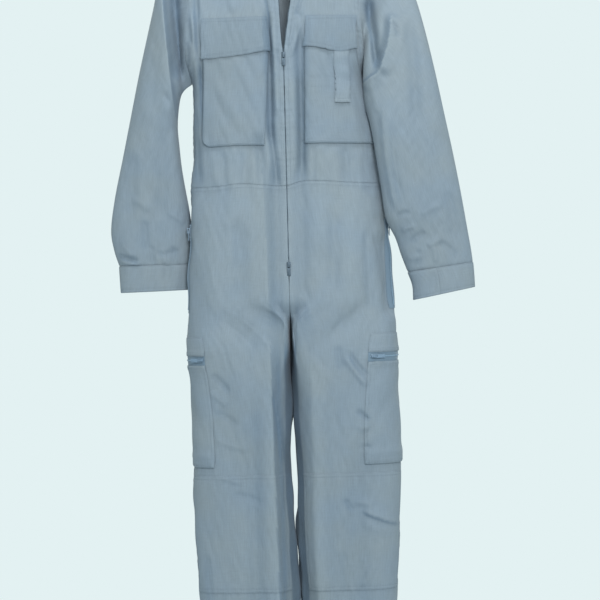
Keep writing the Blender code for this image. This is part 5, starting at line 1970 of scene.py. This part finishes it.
def chain(points, out, across, pitch, offset, shift):
    """Places of one side's teeth along a zip: X runs along the chain, Y towards the other side."""
    at, _, up = along_line(points, out, pitch, shift)
    run = run_length(points[None], 1)[0]
    where = run_length(np.concatenate([points[:1], at])[None], 1)[0][1:] if len(at) else run[:0]
    towards = np.stack([np.interp(where, run, across[:, k]) for k in range(3)], axis=1)
    towards = unit(towards - up * (towards * up).sum(axis=1, keepdims=True))
    # The tooth's Y is out x along, so its X is turned to make that point across.
    return at + towards * offset, np.cross(towards, up), up


def make_front_zip():
    """Both halves of the front zip: a tape sewn behind each front edge, and its row of teeth."""
    pitch = bpy.context.scene.suit_sizes.front_chain / MM
    rises = np.linspace(0.987, 0, 150)
    heights = np.linspace(WAIST_Z - 3, ZIP_END_Z, 60)
    spots = []
    for side, word in SIDES:
        upper, below = bodice(side, FRONT), lower(side, FRONT)
        edge = np.concatenate([upper.point(1.0, rises), below.point(1.0, heights)])
        out = np.concatenate([upper.out(1.0, rises), below.out(1.0, heights)])
        inside = np.concatenate([upper.point(0.97, rises), below.point(0.97, heights)])
        away = unit(inside - edge)
        behind = edge - out * CHAIN_BEHIND
        points = behind[:, None] + away[:, None] * TAPE_ACROSS[None, :, None]
        points = points - out[:, None] * TAPE_BEHIND[None, :, None]
        tone = np.full(points.shape[:2], NEUTRAL_PAINTED_LIGHT)
        panel = Panel(points, np.repeat(out[:, None], len(TAPE_ACROSS), axis=1), tone)
        name = f"front_zip_{word}"
        cloth_piece(f"{name}_tape", panel, TAPE, name, "zip_tape", gap=0)
        shift = 0 if side == RIGHT else pitch / 2
        spots.append(chain(behind - out * 0.7, out, -away, pitch, 0.2, shift))
    tooth = model_tooth(2.6, pitch * TOOTH_SHARE, 2.1)
    scatter("front_zip_teeth", tooth, spots, "zip_metal")


def closed_zip(name, panel, points, out, pitch):
    """A zip's tape laid on the cloth, and the places of its two rows of teeth along a line."""
    cloth_piece(f"{name}_tape", panel, TAPE, name, "zip_tape", gap=0)
    across = unit(np.cross(out, np.gradient(points, axis=0)))
    raised = points + out * CHAIN_RAISE
    return [
        chain(raised, out, across, pitch, -CHAIN_HALF_WIDTH, 0),
        chain(raised, out, -across, pitch, -CHAIN_HALF_WIDTH, pitch / 2),
    ]


def make_small_zips():
    """The zips at the side openings and across the thigh pockets."""
    _, _, step = cloth_sizes()
    pitch = bpy.context.scene.suit_sizes.small_chain / MM
    height = PATCH_GAP + TAPE
    levels = np.linspace(SIDE_ZIP_Z[0] - 2, SIDE_ZIP_Z[1] + 5, 60)
    spots, lines = [], []
    for side, word in SIDES:
        surface = lower(side, FRONT)
        grid = np.meshgrid(np.linspace(*SIDE_ZIP_TURNS, 14), np.linspace(*SIDE_ZIP_Z, 60))
        panel = panel_on(surface, *grid).lift(height)
        out = surface.out(SIDE_CHAIN_TURN, levels)
        centre = surface.point(SIDE_CHAIN_TURN, levels) + out * height
        spots += closed_zip(f"side_zip_{word}", panel, centre, out, pitch)
        lines += [panel.line(edge, TAPE_STITCH) for edge in ("left", "right")]

        surface = thigh(side)
        reach, short = THIGH_TURNS[side], THIGH_TURNS[side] - 0.012
        turns = even_values(lambda t: surface.point(t, THIGH_CHAIN_Z), -reach, reach, step)
        grid = np.meshgrid(turns, np.linspace(*THIGH_ZIP_Z, 10))
        panel = panel_on(surface, *grid).lift(height)
        fine = even_values(lambda t: surface.point(t, THIGH_CHAIN_Z), -short, short, 2)
        level = np.full_like(fine, THIGH_CHAIN_Z)
        out = surface.out(fine, level)
        centre = surface.point(fine, level) + out * height
        spots += closed_zip(f"thigh_zip_{word}", panel, centre, out, pitch)
    tooth = model_tooth(1.9, pitch * TOOTH_SHARE, 1.3)
    scatter("small_zip_teeth", tooth, spots, "nylon_coil")
    stitches("small_zip_stitching", lines)


SLIDERS = ("front_top", "front_low", "side_right", "side_left", "thigh_right", "thigh_left")


def copy_of(node, flatten=False):
    """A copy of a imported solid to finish, in one frame with the rest and with joined faces.
    flatten also merges the triangles of each flat face, so that its real edges can be rounded."""
    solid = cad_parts[node]
    copy = solid.copy()
    copy.data = solid.data.copy()
    copy.name = f"{node}_shown"
    bpy.context.scene.collection.objects.link(copy)
    for key in list(copy.keys()):
        del copy[key]
    copy.parent = None
    copy.matrix_world = Matrix.Identity(4)
    mesh = bmesh.new()
    mesh.from_mesh(copy.data)
    bmesh.ops.remove_doubles(mesh, verts=mesh.verts, dist=1e-5)
    if flatten:
        bmesh.ops.dissolve_limit(mesh, angle_limit=0.02, verts=mesh.verts, edges=mesh.edges)
    mesh.to_mesh(copy.data)
    mesh.free()
    return copy


def finish_copy(copy, node, finish, body="suit"):
    copy.data.materials.clear()
    copy.data.materials.append(material(finish))
    put_on(copy, node, body)


def make_sliders():
    """Finished slider and pull shapes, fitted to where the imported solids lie."""
    for name in SLIDERS:
        finish = "zip_metal" if name.startswith("front") else "lacquered_zinc"
        for part, body in (("slider", "suit"), ("pull", f"{name}_tab")):
            copy = copy_of(f"{name}_{part}", flatten=True)
            bpy.ops.object.select_all(action="DESELECT")
            copy.select_set(True)
            bpy.context.view_layer.objects.active = copy
            bevel = copy.modifiers.new("round", "BEVEL")
            bevel.width = 0.3 * MM
            bevel.segments = 3
            bpy.ops.object.modifier_apply(modifier="round")
            bpy.ops.object.shade_smooth_by_angle(angle=math.radians(40))
            finish_copy(copy, f"{name}_{part}", finish, body)


# ---- hanger


def make_hanger():
    """The hanger's moulded bar and wire hook, as they are packed."""
    for node, slot in (("hanger_bar", "hanger_plastic"), ("hanger_hook", "hook_steel")):
        finish_copy(copy_of(node), node, slot)


# ---- studio

CAMERA_TARGET = (0.0194, -0.04, -0.764)
CAMERA_DISTANCE = 4.0
FIELD_WIDTH = 1.14
SENSOR_WIDTH = 36.0
CAMERA_ROLL = -0.026
FLOOR_Z = -1.75
FLOOR_RADIUS = 1.6


def make_stage():
    colours = bpy.context.scene.suit_colours
    scene = bpy.context.scene
    scene.view_settings.view_transform = "Standard"
    camera = bpy.data.cameras.new("camera")
    camera.sensor_width = SENSOR_WIDTH
    camera.lens = SENSOR_WIDTH * CAMERA_DISTANCE / FIELD_WIDTH
    camera.clip_end = 30
    eye = bpy.data.objects.new("camera", camera)
    eye.location = Vector(CAMERA_TARGET) + Vector((0, -CAMERA_DISTANCE, 0))
    eye.rotation_euler = (math.pi / 2, 0, 0)
    eye.rotation_euler.rotate_axis("Z", CAMERA_ROLL)
    scene.collection.objects.link(eye)
    scene.camera = eye

    world = bpy.data.worlds.new("studio")
    scene.world = world
    world.use_nodes = True
    background = world.node_tree.nodes["Background"]
    background.inputs["Color"].default_value = (*colours.backdrop, 1)
    background.inputs["Strength"].default_value = 1.0

    bpy.ops.object.select_all(action="DESELECT")
    bpy.ops.mesh.primitive_cylinder_add(
        vertices=96, radius=FLOOR_RADIUS, depth=0.02, location=(0, 0, FLOOR_Z - 0.01)
    )
    floor = bpy.context.object
    floor.name = "floor"
    floor.data.transform(floor.matrix_world)
    floor.matrix_world = Matrix.Identity(4)
    # Uncoated card: matt, with faint fibres.
    card = mottled("matt_card", colours.floor, 300.0, 2.0, (0.98, 1.0), Roughness=0.9)
    floor.data.materials.append(card)

    lamps = table(
        "name x y z size power",
        ("key", 0.55, -3.2, 0.4, 1.0, 80),
        ("crown", 0.1, -1.0, 1.7, 0.7, 30),
        ("back", -0.6, 2.6, 0.2, 1.8, 34),
    )
    for lamp in lamps:
        light = bpy.data.lights.new(lamp["name"], "AREA")
        light.shape = "DISK"
        light.size = lamp["size"]
        light.energy = lamp["power"]
        holder = bpy.data.objects.new(lamp["name"], light)
        holder.location = (lamp["x"], lamp["y"], lamp["z"])
        aim = Vector(CAMERA_TARGET) - Vector(holder.location)
        holder.rotation_euler = aim.to_track_quat("-Z", "Y").to_euler()
        scene.collection.objects.link(holder)


# ---- add-on


def length_property(name, description, millimetres):
    return bpy.props.FloatProperty(
        name=name,
        description=description,
        default=millimetres * MM,
        unit="LENGTH",
        min=0.00005,
        precision=5,
    )


def colour_property(name, description, code):
    return bpy.props.FloatVectorProperty(
        name=name,
        description=description,
        default=linear(code),
        subtype="COLOR",
        size=3,
        min=0,
        max=1,
    )


class SuitSizes(bpy.types.PropertyGroup):
    cloth: length_property("Cloth", "Thickness of the panels", 1.2)
    patch: length_property("Patch cloth", "Thickness of pockets, flaps and patches", 1.1)
    grid: length_property("Grid", "Spacing of the points over the cloth", 3.3)
    twill: length_property("Twill", "Width of one diagonal rib of the cloth", 1.1)
    stitch_pitch: length_property("Stitch pitch", "From one stitch to the next", 3.2)
    stitch_length: length_property("Stitch length", "Length of thread that shows", 2.5)
    thread: length_property("Thread", "Thickness of the thread", 0.55)
    front_chain: length_property("Front zip pitch", "From one tooth to the next", 2.6)
    small_chain: length_property("Small zip pitch", "From one tooth to the next", 2.0)


class SuitColours(bpy.types.PropertyGroup):
    cloth: colour_property("Cloth", "Grey-blue twill", "#717d87")
    thread: colour_property("Thread", "Sewing thread", "#64717d")
    tape: colour_property("Zip tape", "Tape of the zips", "#637889")
    metal: colour_property("Zip metal", "Teeth, sliders and pulls", "#55626d")
    lacquer: colour_property("Small sliders", "Lacquer of the small sliders and pulls", "#62778a")
    plastic: colour_property("Hanger", "Moulded bar", "#9da3a5")
    steel: colour_property("Hook", "Wire hook", "#c9cdd0")
    floor: colour_property("Floor", "Card under the suit", "#c6cfd1")
    backdrop: colour_property("Backdrop", "Light all round the suit", "#e3f1f2")


class SUIT_OT_bodice(bpy.types.Operator):
    """Cuts and hangs both fronts and the back"""

    bl_idname = "suit.bodice"
    bl_label = "Bodice"

    def execute(self, context):
        make_front_bodices()
        make_back_bodice()
        return {"FINISHED"}


class SUIT_OT_collar(bpy.types.Operator):
    """Makes the turn-down collar"""

    bl_idname = "suit.collar"
    bl_label = "Collar"

    def execute(self, context):
        make_collar()
        return {"FINISHED"}


class SUIT_OT_sleeves(bpy.types.Operator):
    """Makes both sleeves and their cuffs"""

    bl_idname = "suit.sleeves"
    bl_label = "Sleeves and cuffs"

    def execute(self, context):
        make_sleeves()
        make_cuffs()
        return {"FINISHED"}


class SUIT_OT_trousers(bpy.types.Operator):
    """Makes the four trouser panels and the knee patches"""

    bl_idname = "suit.trousers"
    bl_label = "Trousers"

    def execute(self, context):
        make_trousers()
        make_knee_patches()
        return {"FINISHED"}


class SUIT_OT_chest_pockets(bpy.types.Operator):
    """Makes the chest pockets, their flaps and the pen strap"""

    bl_idname = "suit.chest_pockets"
    bl_label = "Chest pockets"

    def execute(self, context):
        make_chest_pockets()
        make_flaps()
        make_pen_strap()
        return {"FINISHED"}


class SUIT_OT_thigh_pockets(bpy.types.Operator):
    """Makes the thigh pockets and their bands"""

    bl_idname = "suit.thigh_pockets"
    bl_label = "Thigh pockets"

    def execute(self, context):
        make_thigh_pockets()
        return {"FINISHED"}


class SUIT_OT_zips(bpy.types.Operator):
    """Makes every zip with its teeth, slider and pull"""

    bl_idname = "suit.zips"
    bl_label = "Zips"

    def execute(self, context):
        make_front_zip()
        make_small_zips()
        make_sliders()
        return {"FINISHED"}


class SUIT_OT_hanger(bpy.types.Operator):
    """Makes the coat hanger"""

    bl_idname = "suit.hanger"
    bl_label = "Hanger"

    def execute(self, context):
        make_hanger()
        return {"FINISHED"}


class SUIT_OT_stage(bpy.types.Operator):
    """Sets up the camera, the floor and the studio light"""

    bl_idname = "suit.stage"
    bl_label = "Studio"

    def execute(self, context):
        make_stage()
        return {"FINISHED"}


OPERATORS = (
    SUIT_OT_stage,
    SUIT_OT_hanger,
    SUIT_OT_bodice,
    SUIT_OT_collar,
    SUIT_OT_sleeves,
    SUIT_OT_trousers,
    SUIT_OT_chest_pockets,
    SUIT_OT_thigh_pockets,
    SUIT_OT_zips,
)


class SUIT_PT_panel(bpy.types.Panel):
    """Sizes, colours and pieces of the boiler suit"""

    bl_idname = "SUIT_PT_panel"
    bl_label = "Boiler suit"
    bl_space_type = "VIEW_3D"
    bl_region_type = "UI"
    bl_category = "Boiler suit"

    def draw(self, context):
        for group in (context.scene.suit_sizes, context.scene.suit_colours):
            for key in group.__annotations__:
                self.layout.prop(group, key)
        for made in OPERATORS:
            self.layout.operator(made.bl_idname)


CLASSES = (SuitSizes, SuitColours, *OPERATORS, SUIT_PT_panel)


def register():
    for made in CLASSES:
        bpy.utils.register_class(made)
    bpy.types.Scene.suit_sizes = bpy.props.PointerProperty(type=SuitSizes)
    bpy.types.Scene.suit_colours = bpy.props.PointerProperty(type=SuitColours)


def unregister():
    del bpy.types.Scene.suit_sizes, bpy.types.Scene.suit_colours
    for made in reversed(CLASSES):
        bpy.utils.unregister_class(made)


def corners(box):
    return [[float(value) for value in corner] for corner in box]


def main():
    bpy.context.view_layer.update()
    register()
    for made in OPERATORS:
        name = made.bl_idname.split(".")[1]
        if getattr(bpy.ops.suit, name)() != {"FINISHED"}:
            raise RuntimeError(f"{name} was not finished")


if __name__ == "__main__":
    main()
